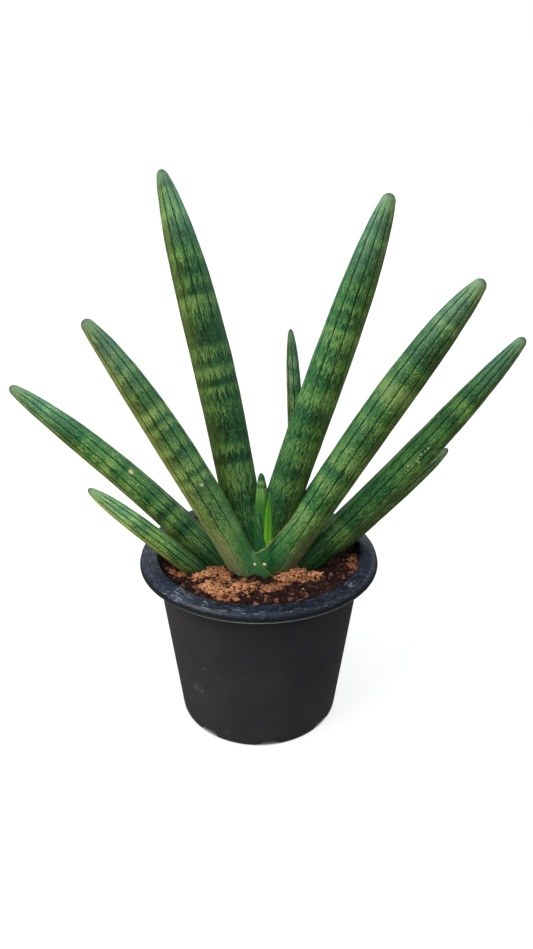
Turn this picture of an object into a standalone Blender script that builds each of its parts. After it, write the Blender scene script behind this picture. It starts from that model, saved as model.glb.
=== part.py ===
"""A cylinder-leaved snake plant growing as a fan in a round nursery pot.

The frame is +Z up, in metres.  The origin is on the ground on the pot's axis,
and the fan of leaves spreads along X.  The plant's heights are measured from
its crown's level.  Its places across spread with the pot's mouth and its
depths follow the pot's height, so the plant fits its pot when the pot changes.
"""

import math
from typing import NamedTuple

import bmesh
import bpy
from mathutils import Vector

# Driving dimensions, in metres.
POT_HEIGHT = 0.1245
POT_MOUTH_RADIUS = 0.0720  # outside of the wall, at the rim's top
POT_BASE_RADIUS = 0.0570  # outside of the wall, at the ground
POT_WALL = 0.0018
RIM_OVERHANG = 0.0105  # how far the rim stands out past the wall
RIM_DROP = 0.0060  # height of the rim's turned-down skirt
RIM_CURL_RADIUS = 0.0040
RIM_INNER_RADIUS = 0.0014
LIP_STEP = 0.0005  # the thin bead along the skirt's lower edge
LIP_HEIGHT = 0.0012
FOOT_HEIGHT = 0.0040  # clear height under the floor
FOOT_RING_WIDTH = 0.0045
FLOOR_THICKNESS = 0.0020
BASE_EDGE_RADIUS = 0.0012

NOTCH_COUNT = 8
NOTCH_TOP_WIDTH = 0.0100
NOTCH_BOTTOM_WIDTH = 0.0170
FIRST_NOTCH_ANGLE = math.radians(-83.0)
DRAIN_HOLE_DIAMETER = 0.0055
DRAIN_HOLE_INSET = 0.0140  # from the base's outer edge to a hole's middle

SOIL_BELOW_RIM = 0.0075
CROWN_BELOW_RIM = 0.0075  # the level from which the plant's heights are measured
PLANT_MOUTH_RADIUS = 0.0720  # the pot in which the plant's millimetres are true
PLANT_POT_HEIGHT = 0.1245
SOIL_MOUND_HEIGHT = 0.0020
SOIL_MOUND_RADIUS = 0.0400

CLEARANCE = 0.0003  # kept between pieces that touch

STOCK_RADIUS = 0.0080  # the creeping stem under the soil
STOCK_TIP_RADIUS = 0.0070
ROOT_RADIUS = 0.0022
ROOT_TIP_RADIUS = 0.0011

BLUNTNESS = 0.27  # a leaf's width at its very tip, as a share of its full width
TIP_ROUNDING = 0.0035  # the length over which a tip closes
SECTION_DEPTH = 0.88  # front-to-back thickness over width, above the sheath
SHEATH_LENGTH = 0.0500  # the length over which a leaf's foot is deepened

POT_SEGMENTS = 48
LEAF_SIDES = 12
LEAF_RINGS = 13
STEM_SIDES = 10
ROOT_SIDES = 6
RUN_STEPS = 3  # rings between two points of a stem's or root's run
RING_CROWDING = 1.6  # above 1, rings crowd towards the tip
CURVE_SAMPLES = 80
CUTTER_OVERSHOOT = 0.0020

soil_level = POT_HEIGHT - SOIL_BELOW_RIM
crown_level = POT_HEIGHT - CROWN_BELOW_RIM
spread = POT_MOUTH_RADIUS / PLANT_MOUTH_RADIUS
deepen = POT_HEIGHT / PLANT_POT_HEIGHT
floor_top = FOOT_HEIGHT + FLOOR_THICKNESS


class Leaf(NamedTuple):
    """One leaf; places are in millimetres, with z measured from the crown's level."""

    name: str
    foot: tuple
    tip: tuple
    tip_angle: float  # degrees from upright, in the fan's plane, + to the right
    foot_pull: float  # how long the leaf keeps going straight up, mm
    tip_pull: float  # how long it already points along its tip angle, mm
    width: float
    taper: float  # mm over which the width falls away towards the tip
    foot_depth: float  # front-to-back thickness of the sheath at the foot, mm
    shade: tuple


DEEP_GREEN = (0.045, 0.145, 0.060)
MID_GREEN = (0.070, 0.190, 0.070)
OLIVE_GREEN = (0.110, 0.190, 0.060)
YOUNG_GREEN = (0.160, 0.330, 0.050)

# From the heart of the fan outwards: each leaf clasps the ones before it.
LEAVES = (
    Leaf("leaf_spear", (5, -13, -9), (8, -15, 59), 6, 20, 25, 8, 18, 8, YOUNG_GREEN),
    Leaf("leaf_heart", (2, -12, -8), (1.5, -16, 72), -3, 20, 30, 11, 18, 11, YOUNG_GREEN),
    Leaf("leaf_tall_right", (3, -9, -11), (73, -19.5, 242), 16.5, 36, 155, 25, 40, 24, MID_GREEN),
    Leaf("leaf_tall_left", (-3, -8, -13), (-57, 7, 253), -15, 3, 160, 27, 40, 26, DEEP_GREEN),
    Leaf("leaf_mid_right", (2, -10, -18), (126.5, -32.5, 197.5), 38, 0, 71, 24, 31, 30, MID_GREEN),
    Leaf("leaf_mid_left", (1, -10, -21), (-102, -25.5, 172.5), -38.5, 4, 58, 24.7, 47, 34, OLIVE_GREEN),
    Leaf("leaf_low_right", (4, -9, -24), (162, -8, 159), 36, 0, 160, 21.7, 45, 24, DEEP_GREEN),
    Leaf("leaf_low_left", (-6, -10, -25), (-162, 9, 121.5), -51, 1, 126, 21, 38, 22, DEEP_GREEN),
    Leaf("leaf_short_left", (-16, -13, -27), (-109, -24.5, 64), -51, 0, 40, 14, 20, 14, MID_GREEN),
    Leaf("leaf_back_right", (27, 12, -27), (128, 14, 77.5), 45, 2, 45, 15, 24, 15, MID_GREEN),
    Leaf("leaf_pup", (27, 16, -22), (20, 18, 156.5), -5, 60, 60, 9, 22, 11, DEEP_GREEN),
)

# Runs of the creeping stem and its roots: millimetres, z from the crown's level.
STOCK_RUN = ((-38, -12, -40), (-20, -13, -37), (-6, -11, -35), (0, -10, -30), (1, -10, -20))
BRANCH_RUN = ((-2, -10, -36), (12, 2, -37), (26, 14, -33))
ROOT_RUNS = (
    ((-32, -12, -42), (-42, -20, -58), (-46, -14, -84)),
    ((-22, -12, -40), (-24, 6, -60), (-32, 14, -90)),
    ((-12, -12, -38), (-8, -30, -62), (-14, -38, -94)),
    ((-4, -10, -38), (2, -4, -68), (-4, 2, -100)),
    ((6, -4, -38), (20, -16, -62), (24, -30, -90)),
    ((16, 5, -38), (34, 8, -60), (42, 2, -88)),
    ((24, 12, -37), (24, 28, -60), (16, 38, -92)),
)


class Clod(NamedTuple):
    """A lump of coir on the soil; reach, length and width are shares of the soil's radius."""

    name: str
    heading: float  # degrees around the pot's axis
    reach: float
    length: float
    width: float
    height: float
    turn: float  # degrees


CLODS = (
    Clod("clod_by_crown", -50, 0.46, 0.32, 0.174, 0.0055, 8),
    Clod("clod_crown_right", -31, 0.68, 0.145, 0.116, 0.0035, 30),
    Clod("clod_left", -148, 0.64, 0.26, 0.19, 0.0040, 40),
    Clod("clod_front_left", -126, 0.74, 0.29, 0.19, 0.0045, -20),
    Clod("clod_front", -104, 0.66, 0.246, 0.16, 0.0040, 5),
    Clod("clod_back", 96, 0.62, 0.23, 0.174, 0.0040, -35),
)
CLOD_FOOTING = 0.35  # the share of a clod's height that is cut flat beneath it
CLOD_ROUGHNESS = 0.14


def clear_scene():
    for scene_object in list(bpy.data.objects):
        bpy.data.objects.remove(scene_object, do_unlink=True)


def make_material(name, colour, roughness):
    material = bpy.data.materials.new(name)
    material.use_nodes = True
    shader = material.node_tree.nodes["Principled BSDF"]
    shader.inputs["Base Color"].default_value = (*colour, 1.0)
    shader.inputs["Roughness"].default_value = roughness
    shader.inputs["Metallic"].default_value = 0.0
    return material


def add_object(name, mesh, material=None):
    new_object = bpy.data.objects.new(name, mesh)
    bpy.context.scene.collection.objects.link(new_object)
    if material is not None:
        mesh.materials.append(material)
        mesh.shade_smooth()
        mesh.set_sharp_from_angle(angle=math.radians(35))
    return new_object


def add_cutter(name, mesh):
    cutter = add_object(name, mesh)
    cutter.hide_render = True
    cutter.display_type = "WIRE"
    return cutter


def combine(target, other, operation):
    boolean = target.modifiers.new(f"{operation.lower()}_{other.name}", "BOOLEAN")
    boolean.operation = operation
    boolean.object = other


def cut(target, cutter):
    combine(target, cutter, "DIFFERENCE")


def mesh_from_bmesh(name, shape):
    bmesh.ops.recalc_face_normals(shape, faces=shape.faces)
    mesh = bpy.data.meshes.new(name)
    shape.to_mesh(mesh)
    shape.free()
    return mesh


def arc(centre, radius, start, stop, steps):
    """Points of a profile's arc: (radius from the axis, height), in degrees."""
    angles = [math.radians(start + (stop - start) * i / steps) for i in range(steps + 1)]
    return [(centre[0] + radius * math.cos(a), centre[1] + radius * math.sin(a)) for a in angles]


def turned_mesh(name, profile, closed=False):
    """The profile that the Screw modifier turns about Z."""
    mesh = bpy.data.meshes.new(name)
    points = [(radius, 0.0, height) for radius, height in profile]
    edges = [(i, i + 1) for i in range(len(points) - 1)]
    if closed:
        edges.append((len(points) - 1, 0))
    mesh.from_pydata(points, edges, [])
    return mesh


def add_turning(target, segments):
    screw = target.modifiers.new("turn", "SCREW")
    screw.steps = segments
    screw.render_steps = segments
    screw.use_merge_vertices = True
    screw.merge_threshold = 0.00001
    screw.use_smooth_shade = True


def tube_mesh(name, rings):
    """A closed tube through rings of equal numbers of points."""
    shape = bmesh.new()
    made = [[shape.verts.new(point) for point in ring] for ring in rings]
    count = len(made[0])
    for lower, upper in zip(made, made[1:]):
        for i in range(count):
            j = (i + 1) % count
            shape.faces.new((lower[i], lower[j], upper[j], upper[i]))
    shape.faces.new(reversed(made[0]))
    shape.faces.new(made[-1])
    return mesh_from_bmesh(name, shape)


def in_metres(place):
    """A plant point in metres, still measured from the crown's level."""
    return Vector(place) / 1000


def planted(point):
    """A plant point in the pot: spread with its mouth, as deep as it allows."""
    height = point.z * (deepen if point.z < 0 else 1.0)
    return Vector((point.x * spread, point.y * spread, crown_level + height))


# The pot ------------------------------------------------------------------

def wall_radius(height):
    """The outside of the pot's tapered wall at a height above the ground."""
    share = height / POT_HEIGHT
    return POT_BASE_RADIUS + (POT_MOUTH_RADIUS - POT_BASE_RADIUS) * share


def pot_profile():
    rim_radius = POT_MOUTH_RADIUS + RIM_OVERHANG
    skirt_foot = POT_HEIGHT - RIM_DROP
    skirt_inside = rim_radius - POT_WALL
    ring_inside = POT_BASE_RADIUS - FOOT_RING_WIDTH
    mouth_inside = wall_radius(POT_HEIGHT) - POT_WALL
    curl_centre = (rim_radius - LIP_STEP - RIM_CURL_RADIUS, POT_HEIGHT - RIM_CURL_RADIUS)
    inner_edge = (mouth_inside + RIM_INNER_RADIUS, POT_HEIGHT - RIM_INNER_RADIUS)
    points = [(0.0, floor_top), (wall_radius(floor_top) - POT_WALL, floor_top)]
    points += arc(inner_edge, RIM_INNER_RADIUS, 180, 90, 3)
    points += arc(curl_centre, RIM_CURL_RADIUS, 90, 0, 5)
    points += [
        (rim_radius - LIP_STEP, skirt_foot + LIP_HEIGHT),
        (rim_radius, skirt_foot + LIP_HEIGHT * 0.7),
        (rim_radius, skirt_foot),
        (skirt_inside, skirt_foot),
        (skirt_inside, POT_HEIGHT - RIM_CURL_RADIUS),
        (skirt_inside - RIM_CURL_RADIUS / 2, POT_HEIGHT - POT_WALL),
        (wall_radius(POT_HEIGHT - POT_WALL), POT_HEIGHT - POT_WALL),
    ]
    base_edge = (POT_BASE_RADIUS - BASE_EDGE_RADIUS, BASE_EDGE_RADIUS)
    points += arc(base_edge, BASE_EDGE_RADIUS, 0, -90, 3)
    points += [(ring_inside, 0.0), (ring_inside, FOOT_HEIGHT), (0.0, FOOT_HEIGHT)]
    return points


def notch_mesh(angle):
    """A trapezoid prism through the foot ring, wide at the ground."""
    outward = Vector((math.cos(angle), math.sin(angle), 0.0))
    across = Vector((-math.sin(angle), math.cos(angle), 0.0))
    spread = (NOTCH_BOTTOM_WIDTH - NOTCH_TOP_WIDTH) / FOOT_HEIGHT
    low_half = (NOTCH_BOTTOM_WIDTH + spread * CUTTER_OVERSHOOT) / 2
    top_half = NOTCH_TOP_WIDTH / 2
    section = ((-low_half, -CUTTER_OVERSHOOT), (low_half, -CUTTER_OVERSHOOT))
    section += ((top_half, FOOT_HEIGHT), (-top_half, FOOT_HEIGHT))
    ring_inside = POT_BASE_RADIUS - FOOT_RING_WIDTH
    reaches = (ring_inside * math.cos(math.radians(12)) - CUTTER_OVERSHOOT, POT_MOUTH_RADIUS)
    rings = []
    for reach in reaches:
        rings.append([outward * reach + across * side + Vector((0, 0, up)) for side, up in section])
    return tube_mesh("notch", rings)


def drain_mesh(place):
    shape = bmesh.new()
    height = FLOOR_THICKNESS + 2 * CUTTER_OVERSHOOT
    radius = DRAIN_HOLE_DIAMETER / 2
    bmesh.ops.create_cone(shape, segments=12, radius1=radius, radius2=radius, depth=height, cap_ends=True)
    middle = FOOT_HEIGHT + FLOOR_THICKNESS / 2
    bmesh.ops.translate(shape, vec=(place[0], place[1], middle), verts=shape.verts)
    return mesh_from_bmesh("drain", shape)


def make_pot():
    plastic = make_material("black_plastic", (0.022, 0.022, 0.025), 0.45)
    pot = add_object("pot", turned_mesh("pot", pot_profile()), plastic)
    add_turning(pot, POT_SEGMENTS)
    hole_ring = POT_BASE_RADIUS - DRAIN_HOLE_INSET
    for i in range(NOTCH_COUNT):
        angle = FIRST_NOTCH_ANGLE + 2 * math.pi * i / NOTCH_COUNT
        cut(pot, add_cutter(f"notch_cutter_{i + 1}", notch_mesh(angle)))
        place = (hole_ring * math.cos(angle), hole_ring * math.sin(angle))
        cut(pot, add_cutter(f"drain_cutter_{i + 1}", drain_mesh(place)))
    cut(pot, add_cutter("drain_cutter_middle", drain_mesh((0.0, 0.0))))


def make_rim_cutter():
    """A ring round the wall's top and the rim, to dent what leans on them."""
    inside = wall_radius(soil_level) - POT_WALL - CLEARANCE
    top_inside = wall_radius(POT_HEIGHT) - POT_WALL - CLEARANCE
    outside = POT_MOUTH_RADIUS + RIM_OVERHANG + CLEARANCE
    top = POT_HEIGHT + CLEARANCE
    profile = [(top_inside, top), (outside, top), (outside, soil_level), (inside, soil_level)]
    cutter = add_cutter("rim_cutter", turned_mesh("rim_cutter", profile, closed=True))
    add_turning(cutter, POT_SEGMENTS)
    return cutter


# The leaves ---------------------------------------------------------------

def leaf_curve(leaf):
    """Evenly sampled cubic from the foot to the tip, with distances from the tip."""
    foot = in_metres(leaf.foot)
    tip = in_metres(leaf.tip)
    angle = math.radians(leaf.tip_angle)
    tip_way = Vector((math.sin(angle), 0.0, math.cos(angle)))
    foot_handle = foot + Vector((0.0, 0.0, leaf.foot_pull / 1000))
    tip_handle = tip - tip_way * leaf.tip_pull / 1000
    points = []
    for i in range(CURVE_SAMPLES + 1):
        t = i / CURVE_SAMPLES
        u = 1 - t
        point = foot * u**3 + foot_handle * (3 * u * u * t)
        point += tip_handle * (3 * u * t * t) + tip * t**3
        points.append(point)
    return points


def leaf_half_width(leaf, from_tip):
    """Half the leaf's width at a distance from its tip."""
    full = leaf.width / 2000
    width = full * (1 - (1 - BLUNTNESS) * math.exp(-from_tip * 1000 / leaf.taper))
    if from_tip < TIP_ROUNDING:
        width *= math.sqrt(1 - (1 - from_tip / TIP_ROUNDING) ** 2)
    return width


def leaf_half_depth(leaf, from_tip, from_foot):
    """Half the leaf's front-to-back thickness, deepened towards the foot."""
    plain = leaf_half_width(leaf, from_tip) * SECTION_DEPTH
    share = max(0.0, 1 - from_foot / SHEATH_LENGTH)
    ease = share * share * (3 - 2 * share)
    return plain + (leaf.foot_depth / 2000 - plain) * ease


def leaf_rings(leaf, grow):
    """Rings round the leaf from foot to tip, grown outwards by a clearance."""
    points = leaf_curve(leaf)
    points[0] = points[0] - (points[1] - points[0]).normalized() * grow
    points[-1] = points[-1] + (points[-1] - points[-2]).normalized() * grow
    along = [0.0]
    for near, far in zip(points, points[1:]):
        along.append(along[-1] + (far - near).length)
    length = along[-1]
    rings = []
    for i in range(LEAF_RINGS + 1):
        closeness = (1 - i / LEAF_RINGS) ** RING_CROWDING
        from_tip = TIP_ROUNDING / 12 + (length - TIP_ROUNDING / 12) * closeness
        place = length - from_tip
        index = max(1, next((k for k, d in enumerate(along) if d >= place - 1e-9), CURVE_SAMPLES))
        share = (place - along[index - 1]) / (along[index] - along[index - 1])
        centre = points[index - 1].lerp(points[index], share)
        tangent = (points[index] - points[index - 1]).normalized()
        depth_way = (Vector((0, 1, 0)) - tangent * tangent.y).normalized()
        width_way = depth_way.cross(tangent)
        half_width = leaf_half_width(leaf, from_tip) + grow
        half_depth = leaf_half_depth(leaf, from_tip, place) + grow
        ring = []
        for k in range(LEAF_SIDES):
            turn = 2 * math.pi * k / LEAF_SIDES
            offset = width_way * half_width * math.cos(turn) + depth_way * half_depth * math.sin(turn)
            ring.append(planted(centre + offset))
        rings.append(ring)
    return rings


def leaf_mesh(leaf, grow=0.0):
    return tube_mesh(leaf.name, leaf_rings(leaf, grow))


def boxes_meet(first, second):
    """Whether two meshes' boxes meet, so that one may need cutting."""
    spans = []
    for mesh in (first, second):
        places = [vertex.co for vertex in mesh.vertices]
        spans.append([(min(p[k] for p in places), max(p[k] for p in places)) for k in range(3)])
    return all(a[0] <= b[1] and b[0] <= a[1] for a, b in zip(*spans))


def make_leaves(stock_cutters):
    """Each leaf is cut by the stock, by every leaf inside it and by the rim."""
    rim_cutter = make_rim_cutter()
    cutters = []
    for leaf in LEAVES:
        skin = make_material(f"skin_{leaf.name}", leaf.shade, 0.42)
        blade = add_object(leaf.name, leaf_mesh(leaf), skin)
        for cutter in stock_cutters + cutters:
            if boxes_meet(blade.data, cutter.data):
                cut(blade, cutter)
        cut(blade, rim_cutter)
        cutters.append(add_cutter(f"{leaf.name}_cutter", leaf_mesh(leaf, CLEARANCE)))
    return cutters


# The stock and its roots --------------------------------------------------

def smooth_run(run, steps):
    """Points of a Catmull-Rom curve through the run's own points."""
    ends = [2 * run[0] - run[1], *run, 2 * run[-1] - run[-2]]
    points = []
    for a, b, c, d in zip(ends, ends[1:], ends[2:], ends[3:]):
        for i in range(steps):
            t = i / steps
            points.append(
                0.5 * (2 * b + (c - a) * t + (2 * a - 5 * b + 4 * c - d) * t * t
                       + (3 * b - a - 3 * c + d) * t * t * t)
            )
    points.append(run[-1])
    return points


def run_mesh(name, run, start_radius, end_radius, sides, grow):
    """A tapering tube along a run, with short rounded ends."""
    points = smooth_run([in_metres(place) for place in run], RUN_STEPS)
    first_way = (points[1] - points[0]).normalized()
    last_way = (points[-1] - points[-2]).normalized()
    points[0] = points[0] - first_way * grow
    points[-1] = points[-1] + last_way * grow
    count = len(points) - 1
    rings = []
    for i, point in enumerate(points):
        way = (points[min(i + 1, count)] - points[max(i - 1, 0)]).normalized()
        side = way.orthogonal().normalized() if i == 0 else (side - way * side.dot(way)).normalized()
        other = way.cross(side)
        radius = start_radius + (end_radius - start_radius) * i / count + grow
        if i in (0, count):
            radius *= 0.75
        ring = []
        for k in range(sides):
            turn = 2 * math.pi * k / sides
            offset = side * radius * math.cos(turn) + other * radius * math.sin(turn)
            ring.append(planted(point + offset))
        rings.append(ring)
    return tube_mesh(name, rings)


def make_rootstock():
    """The creeping stem, its branch and its roots, grown as one piece."""
    bark = make_material("stock_bark", (0.45, 0.30, 0.16), 0.7)
    tubes = [
        ("stem", STOCK_RUN, STOCK_RADIUS, STOCK_TIP_RADIUS, STEM_SIDES),
        ("branch", BRANCH_RUN, STOCK_TIP_RADIUS, STOCK_TIP_RADIUS, STEM_SIDES),
    ]
    for i, run in enumerate(ROOT_RUNS):
        tubes.append((f"root_{i + 1}", run, ROOT_RADIUS, ROOT_TIP_RADIUS, ROOT_SIDES))
    rootstock = None
    cutters = []
    for name, run, start_radius, end_radius, sides in tubes:
        solid = run_mesh(name, run, start_radius, end_radius, sides, 0.0)
        hole = run_mesh(name, run, start_radius, end_radius, sides, CLEARANCE)
        cutters.append(add_cutter(f"{name}_cutter", hole))
        if rootstock is None:
            rootstock = add_object("rootstock", solid, bark)
        else:
            combine(rootstock, add_cutter(f"{name}_former", solid), "UNION")
    return cutters


# The soil and its clods ---------------------------------------------------

def soil_radius(height):
    return wall_radius(height) - POT_WALL - CLEARANCE


def soil_height(radius):
    """The soil's surface: level, with a low mound round the crown."""
    if radius >= SOIL_MOUND_RADIUS:
        return soil_level
    return soil_level + SOIL_MOUND_HEIGHT * (1 + math.cos(math.pi * radius / SOIL_MOUND_RADIUS)) / 2


def make_soil(cutters):
    coir = make_material("coir_soil", (0.075, 0.030, 0.015), 0.95)
    mound_steps = 5
    profile = [(0.0, soil_height(0.0))]
    for i in range(1, mound_steps + 1):
        radius = SOIL_MOUND_RADIUS * i / mound_steps
        profile.append((radius, soil_height(radius)))
    base = floor_top + CLEARANCE
    profile += [(soil_radius(soil_level), soil_level), (soil_radius(base), base), (0.0, base)]
    soil = add_object("soil", turned_mesh("soil", profile), coir)
    add_turning(soil, POT_SEGMENTS)
    for cutter in cutters:
        cut(soil, cutter)


def make_clod(clod, colour, seed):
    """A lumpy, flat-bottomed ball that rests on the soil."""
    heading = math.radians(clod.heading)
    outer = soil_radius(soil_level)
    reach = clod.reach * outer
    middle = Vector((reach * math.cos(heading), reach * math.sin(heading), 0.0))
    turn = math.radians(clod.turn)
    shape = bmesh.new()
    bmesh.ops.create_icosphere(shape, subdivisions=2, radius=1.0)
    for vertex in shape.verts:
        p = vertex.co.copy()
        lump = 1 + CLOD_ROUGHNESS * math.sin(5.1 * p.x + seed) * math.cos(4.3 * p.y - 2 * seed)
        lump += CLOD_ROUGHNESS * math.sin(6.7 * p.z + 3 * seed + 2.2 * p.x) / 2
        x = p.x * lump * clod.length * outer / 2
        y = p.y * lump * clod.width * outer / 2
        across = Vector((x * math.cos(turn) - y * math.sin(turn), x * math.sin(turn) + y * math.cos(turn), 0.0))
        place = middle + across
        ground = soil_height(place.length) + CLEARANCE
        share = max(0.0, (p.z * lump + 1 - 2 * CLOD_FOOTING) / (2 - 2 * CLOD_FOOTING))
        under = min(0.0, p.z * lump + 1 - 2 * CLOD_FOOTING)
        place.xy = (middle + across * (1 + under)).xy
        vertex.co = Vector((place.x, place.y, ground + clod.height * share))
    return add_object(clod.name, mesh_from_bmesh(clod.name, shape), colour)


def main():
    clear_scene()
    make_pot()
    stock_cutters = make_rootstock()
    leaf_cutters = make_leaves(stock_cutters[:2])
    make_soil(stock_cutters + leaf_cutters)
    coir_lump = make_material("coir_lump", (0.52, 0.24, 0.12), 0.95)
    for i, clod in enumerate(CLODS):
        lump = make_clod(clod, coir_lump, 1.3 * (i + 1))
        for cutter in leaf_cutters:
            if boxes_meet(lump.data, cutter.data):
                cut(lump, cutter)


main()
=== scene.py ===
# Looks for a cylinder-leaved snake plant in a black nursery pot.
import math

import bmesh
import bpy
import numpy as np
from mathutils import Matrix, Vector, noise
from mathutils.bvhtree import BVHTree


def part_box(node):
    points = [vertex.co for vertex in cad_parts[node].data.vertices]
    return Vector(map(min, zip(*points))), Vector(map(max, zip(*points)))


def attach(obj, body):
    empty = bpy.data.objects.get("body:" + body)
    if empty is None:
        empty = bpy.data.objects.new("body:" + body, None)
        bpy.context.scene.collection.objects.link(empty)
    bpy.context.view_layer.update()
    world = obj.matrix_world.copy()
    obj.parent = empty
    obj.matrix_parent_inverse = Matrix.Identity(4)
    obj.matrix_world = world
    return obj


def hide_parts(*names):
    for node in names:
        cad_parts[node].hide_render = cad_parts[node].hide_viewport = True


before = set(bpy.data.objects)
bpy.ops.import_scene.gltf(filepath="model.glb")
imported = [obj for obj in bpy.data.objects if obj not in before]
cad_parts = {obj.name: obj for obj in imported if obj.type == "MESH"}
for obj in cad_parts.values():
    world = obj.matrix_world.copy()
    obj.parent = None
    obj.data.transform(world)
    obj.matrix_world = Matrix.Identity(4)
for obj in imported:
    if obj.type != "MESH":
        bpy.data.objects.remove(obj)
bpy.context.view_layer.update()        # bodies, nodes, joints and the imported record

mm = 0.001
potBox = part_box("pot")
potHeight = potBox[1][2]
rimRadius = potBox[1][0]
soilLevel = potHeight - 7.5 * mm        # where it meets the pot
print("frame loaded, soil level at", round(soilLevel, 4))


def paint(red, green, blue):
    # screen colour, 0 to 255, to the linear colour that shaders want
    def linear(value):
        share = value / 255
        return share / 12.92 if share < 0.04045 else ((share + 0.055) / 1.055) ** 2.4
    return (linear(red), linear(green), linear(blue), 1.0)


def feed(tree, slot, value):
    if isinstance(value, Field):
        tree.links.new(value.socket, slot)
    else:
        slot.default_value = value


def addNode(tree, kind, inputs=None, **settings):
    made = tree.nodes.new(kind)
    for name, value in settings.items():
        setattr(made, name, value)
    for name, value in (inputs or {}).items():
        feed(tree, made.inputs[name], value)
    return made


class Field:
    # one value in a node tree, so that a formula is written as a formula
    def __init__(self, tree, socket):
        self.tree = tree
        self.socket = socket

    def maths(self, operation, other=0.0):
        made = addNode(self.tree, "ShaderNodeMath", {0: self, 1: other}, operation=operation)
        return Field(self.tree, made.outputs[0])

    def vector(self, operation, other=None):
        # the same for places, directions and colours
        made = addNode(self.tree, "ShaderNodeVectorMath", {0: self}, operation=operation)
        if other is not None:
            feed(self.tree, made.inputs["Scale" if operation == "SCALE" else 1], other)
        return Field(self.tree, made.outputs["Value" if operation == "DISTANCE" else 0])

    def __add__(self, other):
        return self.maths("ADD", other)

    def __sub__(self, other):
        return self.maths("SUBTRACT", other)

    def __mul__(self, other):
        return self.maths("MULTIPLY", other)

    def __truediv__(self, other):
        return self.maths("DIVIDE", other)

    def __pow__(self, other):
        return self.maths("POWER", other)

    def __rsub__(self, other):
        return self * -1 + other

    __radd__ = __add__
    __rmul__ = __mul__

    def atLeast(self, other):
        return self.maths("MAXIMUM", other)

    def atMost(self, other):
        return self.maths("MINIMUM", other)

    def step(self, low, high):
        # 0 below low, 1 above high, eased between
        made = addNode(self.tree, "ShaderNodeMapRange", {"Value": self, "From Min": low, "From Max": high},
                       interpolation_type="SMOOTHSTEP")
        return Field(self.tree, made.outputs[0])

    def parts(self):
        made = addNode(self.tree, "ShaderNodeSeparateXYZ", {"Vector": self})
        return [Field(self.tree, made.outputs[k]) for k in range(3)]

    def ramp(self, stops, ease="LINEAR"):
        # stops are (place, screen colour), or (place, four linear numbers)
        made = addNode(self.tree, "ShaderNodeValToRGB", {"Fac": self})
        scale = made.color_ramp
        scale.interpolation = ease
        while len(scale.elements) < len(stops):
            scale.elements.new(0.5)
        while len(scale.elements) > len(stops):
            scale.elements.remove(scale.elements[-1])
        for element, (position, colour) in zip(scale.elements, stops):
            element.position = position
        for element, (position, colour) in zip(scale.elements, stops):
            element.color = colour if len(colour) == 4 else paint(*colour)
        return Field(self.tree, made.outputs[0])

    def tinted(self, share, shade):
        # this colour with a share of a screen colour laid over it
        return blend(self.tree, share, self, paint(*shade))


def combine(tree, x, y, z=0.0):
    return Field(tree, addNode(tree, "ShaderNodeCombineXYZ", {"X": x, "Y": y, "Z": z}).outputs[0])


def grain(vector, scale, detail=2.0, roughness=0.5, distortion=0.0):
    inputs = {"Vector": vector, "Scale": scale, "Detail": detail, "Roughness": roughness}
    inputs["Distortion"] = distortion
    return Field(vector.tree, addNode(vector.tree, "ShaderNodeTexNoise", inputs).outputs[0])


def blend(tree, share, first, second, mode="MIX"):
    inputs = {0: share, 6: first, 7: second}        # 6 and 7 are the node's two colours
    made = addNode(tree, "ShaderNodeMix", data_type="RGBA", blend_type=mode)
    for slot, value in inputs.items():
        feed(tree, made.inputs[slot], value)
    return Field(tree, made.outputs[2])


def chain(tree, *nodes):
    # each node's first output to the next one's first input
    for first, second in zip(nodes, nodes[1:]):
        tree.links.new(first.outputs[0], second.inputs[0])


def startSkin(name):
    # a new material, its tree and the point that is being shaded
    material = bpy.data.materials.new(name)
    material.use_nodes = True
    tree = material.node_tree
    return material, tree, Field(tree, addNode(tree, "ShaderNodeTexCoord").outputs["Object"])


def finishSkin(material, colour, roughness, height, depth, specular=0.5):
    tree = material.node_tree
    shader = tree.nodes["Principled BSDF"]
    feed(tree, shader.inputs["Base Color"], colour)
    feed(tree, shader.inputs["Roughness"], roughness)
    shader.inputs["Specular IOR Level"].default_value = specular
    bump = addNode(tree, "ShaderNodeBump", {"Height": height, "Distance": depth})
    tree.links.new(bump.outputs[0], shader.inputs["Normal"])
    return material


def readAttribute(tree, name):
    return Field(tree, addNode(tree, "ShaderNodeAttribute", attribute_name=name).outputs["Fac"])


def addObject(name, data):
    made = bpy.data.objects.new(name, data)
    bpy.context.scene.collection.objects.link(made)
    return made


def evaluatedMesh(base):
    # the object with its modifiers, as a plain mesh
    bpy.context.view_layer.update()
    evaluated = base.evaluated_get(bpy.context.evaluated_depsgraph_get())
    return bpy.data.meshes.new_from_object(evaluated)


def smoothMesh(shape, name):
    # ends a bmesh as a smooth mesh whose faces point outwards
    bmesh.ops.recalc_face_normals(shape, faces=shape.faces)
    mesh = bpy.data.meshes.new(name)
    shape.to_mesh(mesh)
    shape.free()
    mesh.shade_smooth()
    return mesh


def joinRings(shape, rings, steps):
    # faces between rings of points; a ring of one point closes an end
    for lower, upper in zip(rings, rings[1:]):
        for k in range(steps):
            following = (k + 1) % steps
            corners = [lower[k % len(lower)], lower[following % len(lower)],
                       upper[following % len(upper)], upper[k % len(upper)]]
            corners = list(dict.fromkeys(corners))
            if len(corners) > 2:
                shape.faces.new(corners)


def finishPiece(piece, slotName, *nodes):
    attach(piece, "root")
    if nodes:
        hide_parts(*nodes)
    return piece


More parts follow.
